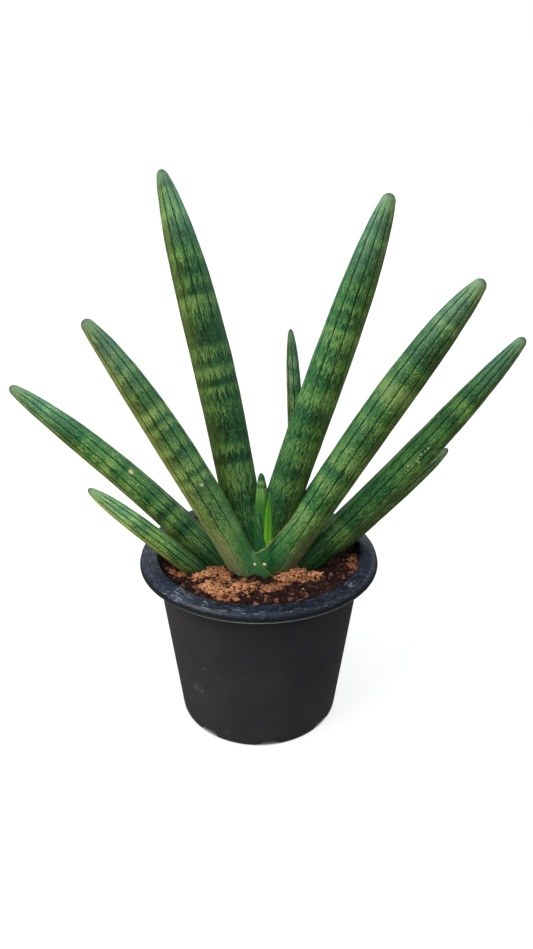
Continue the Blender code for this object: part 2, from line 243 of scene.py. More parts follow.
# leaves: sizes in millimetres, heights from the soil
# bands are (distance from the tip, darkness), toneAndShadeGains (distance, brightness: the leaf's own tone,
# lowered towards the foot by painted shade), scars (distance, share of the way round, size), wing (reach,
# height), furrows (degrees, drift)
leafTable = {
    "leaf_spear": {
        "foot": (6, -23, -9), "tip": (7.5, -20, 59), "tipAngle": 4, "footPull": 20, "tipPull": 25,
        "width": 8, "taper": 18, "footDepth": 8, "side": 1, "young": True, "ribs": 5,
        "stops": ((0, (30, 84, 20)), (10, (70, 140, 20)), (35, (96, 160, 24))),
    },
    "leaf_heart": {
        "foot": (2, -19, -8), "tip": (1.5, -16, 72), "tipAngle": -3, "footPull": 20, "tipPull": 30,
        "width": 11, "taper": 18, "footDepth": 11, "side": 1, "young": True, "ribs": 6,
        "stops": ((0, (24, 66, 34)), (4, (40, 92, 44)), (6, (122, 156, 92)), (9, (40, 88, 40)),
                  (10.5, (112, 154, 84)), (16, (96, 146, 64)), (22, (52, 112, 40)), (45, (44, 104, 34))),
    },
    "leaf_tall_right": {
        "foot": (3, -9, -11), "tip": (73, -19.5, 242), "tipAngle": 16.5, "footPull": 36,
        "tipPull": 155, "width": 25, "taper": 40, "footDepth": 24, "side": -1,
        "furrows": (-11, 0.17), "shades": {"light": (128, 160, 86), "middle": (38, 106, 44)},
        "toneAndShadeGains": ((0, 1.1), (25, 1.2), (65, 1.05), (120, 1.0), (180, 0.8)),
        "bands": ((5, 0.1), (20, 0.75), (26, 0.35), (31, 0.7), (46, 0.75), (54, 0.45), (60, 0.8),
                  (65, 0.3), (69, 0.8), (73, 0.55), (76, 0.8), (80, 0.05), (94, 0.65), (100, 0.3),
                  (109, 0.8), (124, 0.15), (134, 0.95), (142, 0.55), (148, 0.7), (153, 0.35),
                  (166, 0.4), (173, 0.85), (184, 0.3), (197, 0.85), (212, 0.7), (226, 0.5)),
    },
    "leaf_tall_left": {
        "foot": (-3, -8, -13), "tip": (-57, 7, 253), "tipAngle": -15, "footPull": 3,
        "tipPull": 160, "width": 27, "taper": 40, "footDepth": 26, "side": 1,
        "furrows": (12, -0.07), "wing": (4, 46), "furrowEnd": 105, "outerToneAndLightShare": 0.4,
        "bluntness": 0.19, "shades": {"light": (126, 160, 86), "middle": (38, 106, 46)},
        "bandShare": 1.3, "marginShade": (140, 170, 40),
        "toneAndShadeGains": ((0, 1.1), (25, 1.55), (65, 0.95), (120, 0.82), (180, 0.75)),
        "bands": ((4, 0.4), (8, 0.9), (12, 0.2), (17, 0.45), (24, 0.25), (36, 0.85), (50, 0.4),
                  (58, 0.85), (66, 0.4), (71, 0.95), (76, 0.05), (87, 0.6), (94, 0.85), (101, 0.9),
                  (108, 0.3), (115, 0.75), (122, 0.0), (128, 1.0), (133, 0.15), (139, 0.7),
                  (143, 0.4), (156, 0.75), (166, 0.8), (172, 0.3), (180, 1.0), (185, 0.25),
                  (194, 0.15), (212, 0.75), (220, 0.5), (231, 0.7)),
    },
    "leaf_mid_right": {
        "foot": (2, -10, -18), "tip": (126.5, -32.5, 197.5), "tipAngle": 38, "footPull": 0,
        "tipPull": 71, "width": 24, "taper": 31, "footDepth": 30, "side": -1,
        "furrows": (-18, 0.08), "wing": (15, 66), "furrowEnd": 260, "bandShare": 1.15,
        "dashShare": 0.55, "footTint": (96, 84, 66), "scars": ((222.5, 0.409, 0.9),),
        "toneAndShadeGains": ((0, 1.0), (25, 1.0), (65, 0.92), (120, 1.0), (180, 1.05)),
        "bands": ((6, 0.1), (18, 0.6), (22, 0.35), (26, 0.7), (31, 0.2), (36, 0.6), (42, 0.65),
                  (54, 0.9), (62, 0.4), (68, 0.6), (78, 0.05), (94, 0.6), (103, 0.3), (107, 0.55),
                  (114, 0.7), (124, 0.35), (136, 0.2), (141, 0.75), (151, 0.25), (162, 0.6),
                  (168, 0.6), (177, 0.25), (190, 0.3), (202, 0.2), (222, 0.6)),
    },
    "leaf_mid_left": {
        "foot": (1, -10, -21), "tip": (-102, -25.5, 172.5), "tipAngle": -38.5, "footPull": 4,
        "tipPull": 58, "width": 24.7, "taper": 47, "footDepth": 34, "side": 1,
        "furrows": (8, -0.06), "wing": (9, 42), "furrowEnd": 260, "outerToneAndLightShare": 0.5,
        "dashShare": 0.55, "footTint": (104, 100, 76),
        "scars": ((122.5, 0.566, 1.2), (190.5, 0.603, 0.9)),
        "toneAndShadeGains": ((0, 1.0), (25, 1.5), (65, 1.3), (120, 1.4), (180, 1.3)),
        "bands": ((6, 0.2), (20, 0.75), (27, 0.45), (34, 0.75), (38, 0.3), (45, 0.8), (51, 0.5),
                  (56, 0.75), (62, 0.75), (68, 0.0), (74, 0.85), (78, 0.15), (82, 0.85), (93, 0.35),
                  (97, 0.9), (110, 0.2), (114, 0.85), (119, 0.2), (124, 0.7), (136, 0.5),
                  (148, 0.6), (166, 0.1), (185, 0.35), (202, 0.6)),
        "shades": {"light": (148, 170, 94), "middle": (78, 114, 58), "outer": (146, 148, 74)},
    },
    "leaf_low_right": {
        "foot": (4, -9, -24), "tip": (162, -8, 159), "tipAngle": 36, "footPull": 0,
        "tipPull": 160, "width": 21.7, "taper": 45, "footDepth": 24, "side": -1,
        "furrows": (-9, 0.15), "furrowEnd": 200, "sheathTop": 20, "sheathLength": 42,
        "dashShare": 0.75, "shades": {"light": (126, 160, 82), "inner": (40, 124, 62)},
        "scars": ((69, 0.303, 0.6), (88, 0.482, 0.7), (91, 0.48, 0.5), (94, 0.473, 0.8),
                  (97, 0.48, 0.6), (99, 0.486, 0.6), (99, 0.516, 0.6), (105, 0.456, 0.6),
                  (107, 0.485, 0.5)),
        "toneAndShadeGains": ((0, 1.0), (25, 1.2), (65, 1.1), (120, 1.2), (150, 1.02), (180, 0.55)),
        "bands": ((6, 0.15), (12, 0.5), (22, 0.7), (31, 0.65), (38, 0.5), (46, 0.8), (56, 0.1),
                  (66, 0.8), (78, 0.4), (90, 0.7), (104, 0.3), (108, 0.5), (116, 0.4), (128, 0.8),
                  (146, 0.55), (153, 0.7), (161, 0.9), (166, 0.1), (172, 0.15), (184, 0.8),
                  (200, 0.7)),
    },
    "leaf_low_left": {
        "foot": (-6, -10, -25), "tip": (-162, 9, 121.5), "tipAngle": -51, "footPull": 1,
        "tipPull": 126, "width": 21, "taper": 38, "footDepth": 22, "side": 1,
        "furrows": (24, -0.2), "furrowEnd": 260, "outerToneAndLightShare": 0.5,
        "sheathTop": 13, "sheathLength": 38, "dashShare": 0.6, "scars": ((95, 0.633, 1.6),),
        "toneAndShadeGains": ((0, 1.05), (25, 1.6), (65, 1.3), (120, 1.05), (150, 0.9), (180, 0.62)),
        "bands": ((5, 0.1), (13, 0.3), (20, 0.75), (26, 0.35), (42, 0.75), (54, 0.75), (60, 0.35),
                  (65, 0.65), (70, 0.3), (74, 0.55), (79, 0.1), (89, 0.7), (95, 0.3), (102, 0.3),
                  (116, 0.7), (124, 0.15), (130, 1.0), (136, 0.05), (147, 0.95), (154, 0.3),
                  (178, 0.8), (194, 0.6)),
    },
    "leaf_short_left": {
        "foot": (-16, -13, -27), "tip": (-109, -24.5, 64), "tipAngle": -51, "footPull": 0,
        "tipPull": 40, "width": 14, "taper": 20, "footDepth": 14, "side": 1,
        "furrows": (22, -0.1), "furrowEnd": 200, "outerToneAndLightShare": 0.65,
        "sheathTop": 6, "sheathLength": 28, "dashShare": 0.6,
        "shades": {"light": (158, 186, 100), "middle": (78, 130, 62), "outer": (170, 176, 84)},
        "toneAndShadeGains": ((0, 1.1), (25, 1.7), (50, 1.15), (75, 0.85), (90, 0.6)),
        "bands": ((5, 0.0), (23, 0.45), (34, 0.1), (40, 0.6), (52, 0.15), (66, 0.3), (73, 0.75),
                  (80, 0.4), (92, 0.7)),
    },
    "leaf_back_right": {
        "foot": (27, 12, -27), "tip": (128, 14, 77.5), "tipAngle": 45, "footPull": 2,
        "tipPull": 45, "width": 15, "taper": 24, "footDepth": 15, "side": -1,
        "sheathTop": 16, "sheathLength": 32, "outerToneAndLightShare": 0.7,
        "toneAndShadeGains": ((0, 1.25), (30, 1.15), (60, 1.0)),
        "bands": ((5, 0.0), (18, 0.4), (30, 0.2), (45, 0.6), (60, 0.3), (80, 0.7), (100, 0.4),
                  (120, 0.7)),
    },
    "leaf_pup": {
        "foot": (27, 16, -22), "tip": (20, 18, 158), "tipAngle": -5, "footPull": 60,
        "tipPull": 60, "width": 10.5, "taper": 22, "footDepth": 11, "side": 1, "ribs": 7,
        "toneAndShadeGains": ((0, 1.0), (20, 1.35), (70, 1.2)),
        "shades": {"light": (136, 156, 108), "outer": (126, 134, 84)},
        "bands": ((5, 0.6), (14, 0.75), (19, 0.3), (24, 0.8), (30, 0.3), (38, 0.85), (46, 0.35),
                  (55, 0.8), (66, 0.4), (80, 0.8), (100, 0.4), (130, 0.7)),
    },
}
leafUsual = {        # what a leaf has where its row above says nothing
    "young": False, "ribs": 10, "furrows": (0, 0), "furrowEnd": 130, "wing": (0, 60),
    "sheathLength": 50, "sheathTop": 48, "bluntness": 0.27, "outerToneAndLightShare": 0.3, "bandShare": 1.0,
    "dashShare": 1.0, "toneAndShadeGains": ((0, 1),), "shades": {}, "scars": (), "footTint": None,
    "marginShade": (150, 128, 78),
}
leafShades = {
    "light": (140, 163, 90), "middle": (46, 110, 46), "dark": (4, 44, 25),
    # inner and outer are partly the leaf's own colouring, partly painted sky reflection and painted side
    # light
    "inner": (54, 118, 80), "outer": (122, 134, 60), "fleck": (168, 192, 124),
    "tip": (112, 138, 110), "bloom": (108, 138, 138), "streak": (18, 52, 28),
    # furrow is partly the leaf's own stripe colour, partly painted shade in the grooves
    "furrow": (5, 30, 16), "tipRim": (58, 76, 60), "sheath": (30, 88, 44), "scar": (222, 208, 164),
}
leafShape = {
    "Tip Rounding": 3.5 * mm, "Depth Share": 0.88, "Crowding": 1.12, "Furrow Depth": 0.34 * mm,
    "Furrow Width": 0.42 * mm, "Channel Depth": 2.2 * mm, "Waviness": 0.35 * mm,
}
# noise on a leaf: turns per mm round it and along it, seed shift, detail, roughness
leafGrain = {
    "streak": (0.6, 0.05, 0, 3.0, 0.6), "fine": (1.6, 0.2, 5, 2.0, 0.5),
    "spots": (1.3, 0.9, 9, 2.0, 0.55), "cloud": (0.1, 0.05, 2, 2.0, 0.5),
}
# how far each noise pushes a band out of line, in mm, then the tone's base and the spots' strength
bandShape = {"luck": 3.0, "streak": 5, "dash": 2.6, "cloud": 3, "darkness": 0.57, "spots": 3.3}
leafRelief = {"channelWidth": 0.09, "ribSwell": 0.22 * mm, "roughTurns": 55.0, "wander": 0.1}
leafMesh = {"small": (96.0, 180.0), "large": (160.0, 300.0), "smallUnder": 12}
for name, row in leafTable.items():
    leafTable[name] = dict(leafUsual, **row)
    leafTable[name]["shades"] = dict(leafShades, **leafTable[name]["shades"])


def groupTree(name, numbers):
    tree = bpy.data.node_groups.new(name, "GeometryNodeTree")
    tree.interface.new_socket("Geometry", in_out="INPUT", socket_type="NodeSocketGeometry")
    for label in numbers:
        tree.interface.new_socket(label, in_out="INPUT", socket_type="NodeSocketFloat")
    tree.interface.new_socket("Material", in_out="INPUT", socket_type="NodeSocketMaterial")
    tree.interface.new_socket("Geometry", in_out="OUTPUT", socket_type="NodeSocketGeometry")
    start = addNode(tree, "NodeGroupInput")
    given = {label: Field(tree, start.outputs[label]) for label in numbers}
    return tree, start, addNode(tree, "NodeGroupOutput"), given


def runTree(base, tree, values):
    # gives the object the tree, sets its inputs and returns the result as a plain mesh
    modifier = base.modifiers.new(tree.name, "NODES")
    modifier.node_group = tree
    for item in tree.interface.items_tree:
        if item.in_out == "INPUT" and item.name in values:
            modifier[item.identifier] = values[item.name]
    mesh = evaluatedMesh(base)
    base.modifiers.remove(modifier)
    return mesh


def storeAttribute(tree, before, label, value, kind="FLOAT", domain="POINT"):
    made = addNode(tree, "GeometryNodeStoreNamedAttribute", {"Name": label}, data_type=kind, domain=domain)
    chain(tree, before, made)
    feed(tree, [s for s in made.inputs if s.name == "Value" and s.enabled][0], value)
    return made


def closeTree(tree, start, end, *nodes):
    # the last steps of a tree: real geometry with the wanted material
    coated = addNode(tree, "GeometryNodeSetMaterial")
    chain(tree, *nodes, addNode(tree, "GeometryNodeRealizeInstances"), coated, end)
    tree.links.new(start.outputs["Material"], coated.inputs["Material"])


def leafTree():
    numbers = ("Sides", "Rings", "Width", "Taper", "Bluntness", "Tip Rounding", "Depth Share",
               "Foot Depth", "Sheath Length", "Ribs", "Furrow Start", "Furrow Drift",
               "Furrow Depth", "Furrow Width", "Crowding", "Side", "Wing", "Wing Length",
               "Channel Depth", "Waviness", "Seed")
    tree, start, end, given = groupTree("growLeaf", numbers)
    measured = addNode(tree, "GeometryNodeCurveLength")
    length = Field(tree, measured.outputs[0])
    grid = addNode(tree, "GeometryNodeMeshGrid", {
        "Size X": 1.0, "Size Y": 1.0, "Vertices X": given["Sides"] + 1,
        "Vertices Y": given["Rings"] + 1})
    x, y, unused = Field(tree, addNode(tree, "GeometryNodeInputPosition").outputs[0]).parts()
    around = x + 0.5
    fromTip = length * (0.5 - y).atLeast(0.0) ** given["Crowding"]
    place = length - fromTip
    sampled = addNode(tree, "GeometryNodeSampleCurve", mode="LENGTH")
    feed(tree, sampled.inputs["Length"], place)
    chain(tree, start, measured)
    chain(tree, start, sampled)
    centre = Field(tree, sampled.outputs["Position"])
    tangent = Field(tree, sampled.outputs["Tangent"])
    leanBack = tangent.vector("SCALE", tangent.parts()[1] * -1)
    backWay = leanBack.vector("ADD", (0.0, 1.0, 0.0)).vector("NORMALIZE")
    sideWay = backWay.vector("CROSS_PRODUCT", tangent)

    # width falls away towards a blunt, rounded tip; the foot is deeper front to back
    full = given["Width"] / 2
    decay = (fromTip / given["Taper"] * -1).maths("EXPONENT")
    closing = (fromTip / given["Tip Rounding"]).atMost(1.0)
    closing = (closing * (2 - closing)).maths("SQRT")
    halfWidth = full * (1 - (1 - given["Bluntness"]) * decay) * closing
    sheath = 1 - (place / given["Sheath Length"]).step(0.0, 1.0)
    halfDepth = halfWidth * given["Depth Share"]
    halfDepth = halfDepth + (given["Foot Depth"] / 2 - halfDepth) * sheath

    # the seam is at the back; the inner side carries the sheath's wing and the channel
    angle = around * (2 * math.pi) + math.pi / 2
    across = angle.maths("COSINE")
    deep = angle.maths("SINE")
    inner = (across * given["Side"]).atLeast(0.0)
    wingFade = 1 - (place / given["Wing Length"]).step(0.0, 1.0)
    wing = given["Wing"] * wingFade * inner * given["Side"]
    channel = ((1 - inner) / leafRelief["channelWidth"]) ** 2
    channelFade = (1 - (place / length).step(0.1, 0.62)) * (1 - sheath * 0.6)
    channelCut = (channel * -1).maths("EXPONENT") * given["Channel Depth"] * channelFade

    # furrows between the ribs, fading out at the tip and over the sheath
    firstFurrow = given["Furrow Start"] + given["Furrow Drift"] * fromTip
    ribs = (around - 0.5 - firstFurrow) * given["Ribs"] + 20.0
    wander = grain(combine(tree, place * 60, ribs.maths("FLOOR") * 7, given["Seed"]), 1.0)
    ribPlace = (ribs + (wander - 0.5) * leafRelief["wander"]).maths("FRACT")
    toFurrow = ribPlace.atMost(1 - ribPlace) * halfWidth * (2 * math.pi) / given["Ribs"]
    furrow = ((toFurrow / given["Furrow Width"]) ** 2 * -1).maths("EXPONENT")
    furrowFade = fromTip.step(0.002, 0.012) * (1 - sheath * 0.75)
    ribSwell = (ribPlace * math.pi).maths("SINE") * leafRelief["ribSwell"] * furrowFade
    inset = furrow * given["Furrow Depth"] * furrowFade + channelCut - ribSwell

    fullness = 1 - inner * wingFade * (given["Wing"] * 400).atMost(0.5)
    deepShare = deep.maths("SIGN") * deep.maths("ABSOLUTE") ** fullness
    reach = sideWay.vector("SCALE", across * halfWidth + wing)
    reach = reach.vector("ADD", backWay.vector("SCALE", deepShare * halfDepth))
    point = centre.vector("ADD", reach)
    shifted = point.vector("SCALE", leafRelief["roughTurns"])
    shifted = shifted.vector("ADD", combine(tree, given["Seed"], 0.0, 0.0))
    rough = grain(shifted, 1.0, detail=3.0)
    swell = (rough - 0.5) * 2 * given["Waviness"] * fromTip.step(0.0, 0.02)
    outward = reach.vector("NORMALIZE").vector("SCALE", (swell - inset) * closing)

    mapped = storeAttribute(tree, grid, "leafMap", combine(tree, around, fromTip), "FLOAT2", "CORNER")
    ring = combine(tree, around, fromTip, place)
    mapped = storeAttribute(tree, mapped, "ring", ring, "FLOAT_VECTOR")
    moved = addNode(tree, "GeometryNodeSetPosition", {"Position": point.vector("ADD", outward)})
    merged = addNode(tree, "GeometryNodeMergeByDistance", {"Distance": 0.000002})
    smooth = addNode(tree, "GeometryNodeSetShadeSmooth")
    closeTree(tree, start, end, mapped, moved, merged, smooth)
    return tree


def leafPath(name, leaf):
    # one Bezier stretch from the foot, under the soil, to the tip
    foot = Vector(leaf["foot"]) * mm + Vector((0, 0, soilLevel))
    tip = Vector(leaf["tip"]) * mm + Vector((0, 0, soilLevel))
    lean = math.radians(leaf["tipAngle"])
    tipWay = Vector((math.sin(lean), 0, math.cos(lean)))
    data = bpy.data.curves.new(name + "Path", "CURVE")
    data.dimensions = "3D"
    data.resolution_u = 96
    spline = data.splines.new("BEZIER")
    spline.bezier_points.add(1)
    first, last = spline.bezier_points
    for end, place in ((first, foot), (last, tip)):
        end.handle_left_type = "FREE"
        end.handle_right_type = "FREE"
        end.co = place
        end.handle_left = place
        end.handle_right = place
    first.handle_right = foot + Vector((0, 0, leaf["footPull"] * mm))
    last.handle_left = tip - tipWay * leaf["tipPull"] * mm
    return addObject(name + "Path", data)


def tidyMesh(mesh):
    # faces outwards, and any open end closed
    shape = bmesh.new()
    shape.from_mesh(mesh)
    bmesh.ops.holes_fill(shape, edges=[e for e in shape.edges if e.is_boundary], sides=0)
    bmesh.ops.recalc_face_normals(shape, faces=shape.faces)
    shape.to_mesh(mesh)
    shape.free()


def leafSkin(name, leaf, seed):
    material, tree, point = startSkin("skin_" + name)
    shades = leaf["shades"]
    firstFurrow, drift = leaf["furrows"]
    mapped = Field(tree, addNode(tree, "ShaderNodeUVMap", uv_map="leafMap").outputs[0])
    around, fromTip, unused = mapped.parts()
    far = fromTip * 1000
    height = (point.parts()[2] - soilLevel) * 1000
    girth = leaf["width"] * 3.0
    thin = 1 - 0.73 * (far / leaf["taper"] * -1).maths("EXPONENT")
    noises = []
    for turns, along, shift, detail, roughness in leafGrain.values():
        place = combine(tree, around * girth * turns, far * along, seed + shift)
        noises.append(grain(place, 1.0, detail, roughness))
    streak, fine, spots, cloud = noises        # streaks run lengthwise, spots are rounder
    dash = fine.step(0.40, 0.60)

    # bands, a little out of line from rib to rib
    ribs = (around - 0.5 - (firstFurrow + far * drift) / 360) * leaf["ribs"] + 20.0
    rib = ribs.maths("FLOOR")
    luck = addNode(tree, "ShaderNodeTexWhiteNoise", {"W": rib + seed * 3}, noise_dimensions="1D")
    ragged = (Field(tree, luck.outputs[0]) - 0.5) * bandShape["luck"]
    ragged = ragged + (streak - 0.5) * bandShape["streak"] + (dash - 0.5) * bandShape["dash"]
    ragged = ragged + (cloud - 0.5) * bandShape["cloud"]
    length = max(band[0] for band in leaf["bands"]) * 1.08
    stops = [(place / length, (dark, dark, dark, 1)) for place, dark in leaf["bands"]]
    banding = ((far + ragged) / length).ramp(stops, "EASE")
    sheath = 1 - height.step(leaf["sheathTop"] * 0.37, leaf["sheathTop"])
    tone = (banding - 0.5) * leaf["bandShare"] + bandShape["darkness"]
    tone = tone + (spots - 0.5) * (bandShape["spots"] - leaf["dashShare"])
    tone = tone + (dash - 0.5) * 0.7 * leaf["dashShare"] + (cloud - 0.5) * 0.2
    tone = tone * (1 - sheath * 0.4) + sheath * 0.25
    colour = tone.ramp([(0.0, shades["light"]), (0.5, shades["middle"]), (1.0, shades["dark"])])
    # the blue-green inner side and the yellow-olive outer flank are partly the leaf's own colouring and
    # partly painted light: a painted sky reflection on the inner side, painted side light on the outer
    # flank
    side = (around * (2 * math.pi) + math.pi / 2).maths("COSINE") * leaf["side"]
    colour = colour.tinted(side.step(-0.2, 0.95) * 0.35, shades["inner"])
    outerToneAndLightShare = leaf["outerToneAndLightShare"] * (1 - sheath * 0.6)
    colour = colour.tinted((1 - side.step(-0.95, 0.1)) * outerToneAndLightShare, shades["outer"])

    # dark lengthwise streaks, stronger towards the foot
    lines = fine.step(0.52, 0.64) * streak.step(0.40, 0.58)
    lines = lines * (0.3 + 0.5 * far.step(60, 150)) * leaf["dashShare"]
    colour = colour.tinted(lines, shades["streak"])
    colour = colour.tinted(spots.step(0.57, 0.68) * (1 - sheath) * 0.32, shades["fleck"])

    # the furrows, broken into dashes: a dark line that is partly the leaf's own stripe and partly painted
    # shade in the groove
    shift = grain(combine(tree, far * 0.06, rib * 7, seed), 1.0) - 0.5
    place = (ribs + shift * leafRelief["wander"]).maths("FRACT")
    toFurrow = place.atMost(1 - place) * thin * (leaf["width"] * math.pi / leaf["ribs"])
    dashes = grain(combine(tree, far * 0.12, rib * 3.7, seed + 4), 1.0).step(0.32, 0.5)
    furrow = 1 - (toFurrow + (fine - 0.5) * 0.7).step(0.04, 0.5)
    furrow = furrow * far.step(4, 14) * (1 - sheath * 0.7)
    furrow = furrow * (1 - far.step(leaf["furrowEnd"] - 30, leaf["furrowEnd"]) * 0.7)
    colour = colour.tinted(furrow * (0.62 + 0.38 * dashes), shades["furrow"])

    # a waxy bloom towards the tip, which is palest near a dark rim at its very end
    bloom = (1 - far.step(15, 55)) * (0.06 + 0.14 * side.step(-0.9, 0.2))
    colour = colour.tinted(bloom, shades["bloom"])
    tipPale = 1 - (far + (spots - 0.5) * 10).step(1, 12)
    colour = colour.tinted(tipPale * 0.5, shades["tip"])
    colour = colour.tinted((1 - (far + (spots - 0.5) * 3).step(0.8, 3.2)) * 0.8, shades["tipRim"])

    # sheath: smoother and deeper green, taupe on the outer flank of some leaves
    colour = colour.tinted(sheath * side.step(-0.3, 0.5) * 0.7, shades["sheath"])
    if leaf["footTint"]:
        tinted = (1 - height.step(14, 52)) * (1 - side.step(-0.5, 0.35)) * streak.step(0.2, 0.55)
        colour = colour.tinted(tinted * 0.75, leaf["footTint"])
    margin = readAttribute(tree, "margin") * (spots - 0.1).step(0.1, 0.5)
    colour = colour.tinted(margin, leaf["marginShade"])
    # brightness along the leaf: partly its own tone, partly painted shade lowering it towards the foot; the
    # last factor is painted shade that darkens each leaf within 20 mm of the soil
    toneAndShadeStops = [(place / length, (toneAndShade / 2, toneAndShade / 2, toneAndShade / 2, 1)) for place, toneAndShade in leaf["toneAndShadeGains"]]
    toneAndShade = (far / length).ramp(toneAndShadeStops) * 2
    colour = colour.vector("SCALE", toneAndShade * (0.66 + 0.38 * height.step(-1, 20)))
    for scarFar, scarAround, scarSize in leaf["scars"]:
        dx = (around - scarAround) * girth
        dy = (far - scarFar) * 0.7
        gap = (dx * dx + dy * dy).maths("SQRT") + (fine - 0.5) * scarSize
        colour = colour.tinted(1 - gap.step(scarSize * 0.5, scarSize), shades["scar"])

    roughness = 0.42 + 0.2 * (streak - 0.5) + tipPale * 0.12
    bumps = fine * 0.5 + streak * 0.5 - furrow * 1.8 + spots * 0.5
    return finishSkin(material, colour, roughness, bumps, 0.00022, 0.3)


def youngSkin(name, leaf, seed):
    material, tree, unused = startSkin("skin_" + name)
    mapped = Field(tree, addNode(tree, "ShaderNodeUVMap", uv_map="leafMap").outputs[0])
    around, fromTip, unused = mapped.parts()
    far = fromTip * 1000
    fine = grain(combine(tree, around * 22, far * 0.12, seed), 1.0, 3.0)
    length = 60
    stops = [(place / length, shade) for place, shade in leaf["stops"]]
    colour = ((far + (fine - 0.5) * 3) / length).ramp(stops)
    place = (around * leaf["ribs"] + 0.5).maths("FRACT")
    line = 1 - (place.atMost(1 - place) * leaf["width"] * 0.6).step(0.15, 0.6)
    colour = colour.tinted(line * far.step(4, 8) * 0.7, (28, 74, 20))
    colour = colour.tinted(fine.step(0.5, 0.7) * 0.3, (34, 92, 24))
    return finishSkin(material, colour, 0.36 + 0.15 * fine, fine, 0.0001)


def growLeaves():
    tree = leafTree()
    grown = {}
    for order, (name, leaf) in enumerate(leafTable.items()):
        seed = order * 1.7 + 0.6
        small = leaf["width"] < leafMesh["smallUnder"]
        sides, rings = leafMesh["small" if small else "large"]
        values = dict(leafShape, Seed=seed, Side=float(leaf["side"]), Ribs=float(leaf["ribs"]))
        values.update({
            "Sides": sides, "Rings": rings, "Width": leaf["width"] * mm, "Taper": leaf["taper"] * mm,
            "Bluntness": leaf["bluntness"], "Foot Depth": leaf["footDepth"] * mm,
            "Sheath Length": leaf["sheathLength"] * mm,
            "Furrow Start": leaf["furrows"][0] / 360, "Furrow Drift": leaf["furrows"][1] / 360 / mm,
            "Furrow Depth": leafShape["Furrow Depth"] * (0.4 if small else 1.0),
            "Wing": leaf["wing"][0] * mm, "Wing Length": leaf["wing"][1] * mm,
            "Channel Depth": leafShape["Channel Depth"] * leaf["width"] / 25,
            "Material": (youngSkin if leaf["young"] else leafSkin)(name, leaf, seed),
        })
        path = leafPath(name, leaf)
        mesh = runTree(path, tree, values)
        bpy.data.objects.remove(path)
        mesh.name = name + "_skin"
        tidyMesh(mesh)
        mesh.shade_smooth()
        grown[name] = addObject(name + "_blade", mesh)
        print("grew", name, len(mesh.polygons), "faces")
    return grown


wrapGap = {
    "thickness": 0.9 * mm, "smoothing": 6, "edge": 0.97, "hugFrom": 0.35, "hugSpan": 0.5,
    "deepest": 4 * mm, "reach": 1.25, "castFrom": -200 * mm,
    "marginPlace": 0.95, "marginWidth": 0.09, "marginReach": 1.2, "marginFade": 12 * mm,
}


def wrapSheath(blade, innerBlades, leaf):
    # lays the inner side of a sheath over the leaves it clasps, up to its margin
    wingLength = leaf["wing"][1] * mm
    mesh = blade.data
    count = len(mesh.vertices)
    ring = np.empty(count * 3)
    mesh.attributes["ring"].data.foreach_get("vector", ring)
    around, fromTip, place = ring.reshape(-1, 3).T
    across = (around - 0.5) * 4 * leaf["side"]        # 0 at the front, 1 at the inner edge
    points = np.empty(count * 3)
    mesh.vertices.foreach_get("co", points)
    points = points.reshape(-1, 3)
    trees = []
    for other in innerBlades:
        trees.append(BVHTree.FromPolygons([v.co for v in other.data.vertices],
                                          [p.vertices for p in other.data.polygons]))
    push = np.zeros(count)
    near = (across > 0) & (across < wrapGap["edge"]) & (place < wingLength * wrapGap["reach"])
    for index in np.flatnonzero(near):
        x, y, z = points[index]
        hits = [tree.ray_cast(Vector((x, wrapGap["castFrom"], z)), Vector((0, 1, 0)))[0] for tree in trees]
        depths = [hit.y for hit in hits if hit is not None]
        if depths:
            onto = min(depths) - wrapGap["thickness"]
            hug = min(1.0, max(0.0, (across[index] - wrapGap["hugFrom"]) / wrapGap["hugSpan"]))
            drop = min(onto - y, wrapGap["deepest"]) * hug * hug
            push[index] = onto - y if onto < y else drop
    edges = np.empty(len(mesh.edges) * 2, dtype=int)
    mesh.edges.foreach_get("vertices", edges)
    first, second = edges.reshape(-1, 2).T
    inside = near[first] & near[second]
    first, second = first[inside], second[inside]
    for turn in range(wrapGap["smoothing"]):
        total = push.copy()
        shares = np.ones(count)
        for here, there in ((first, second), (second, first)):
            np.add.at(total, here, push[there])
            np.add.at(shares, here, 1)
        push = np.where(near, total / shares, push)
    points[:, 1] += push
    mesh.vertices.foreach_set("co", points.ravel())
    edge = 1 - np.abs(across - wrapGap["marginPlace"]) / wrapGap["marginWidth"]
    fade = (wingLength * wrapGap["marginReach"] - place) / wrapGap["marginFade"]
    edge = np.clip(edge, 0, 1) * np.clip(fade, 0, 1)
    line = mesh.attributes.new("margin", "FLOAT", "POINT")
    line.data.foreach_set("value", np.clip(edge * 1.6, 0, 1))
    mesh.update()


leaves = growLeaves()
for name in ("leaf_tall_left", "leaf_mid_right", "leaf_mid_left"):
    inside = list(leafTable)[:list(leafTable).index(name)]
    wrapSheath(leaves[name], [leaves[other] for other in inside], leafTable[name])
for name, blade in leaves.items():
    finishPiece(blade, "young_leaf" if leafTable[name]["young"] else "leaf_skin", name)


potShape = {
    "baseRadius": 57 * mm, "mouthRadius": 72 * mm, "wall": 1.8 * mm, "rimDrop": 6 * mm,
    "curl": 4 * mm, "innerEdge": 1.4 * mm, "lipStep": 0.5 * mm, "lipHeight": 1.2 * mm,
    "footHeight": 4 * mm, "footRing": 4.5 * mm, "floor": 2 * mm, "baseEdge": 1.2 * mm,
    "notches": 8, "firstNotch": -83, "notchTop": 5.0 * mm, "notchFoot": 8.5 * mm,
    "drain": 2.75 * mm, "drainRing": 43 * mm, "drillHeight": 5 * mm, "drillLength": 6 * mm,
    "floorRings": (45 * mm, 20 * mm, 0.0), "notchFrom": 50 * mm, "steps": 264,
    "warp": 0.35 * mm, "warpFrom": 72.5 * mm, "warpHeight": 7 * mm, "sharpAngle": 40,
}
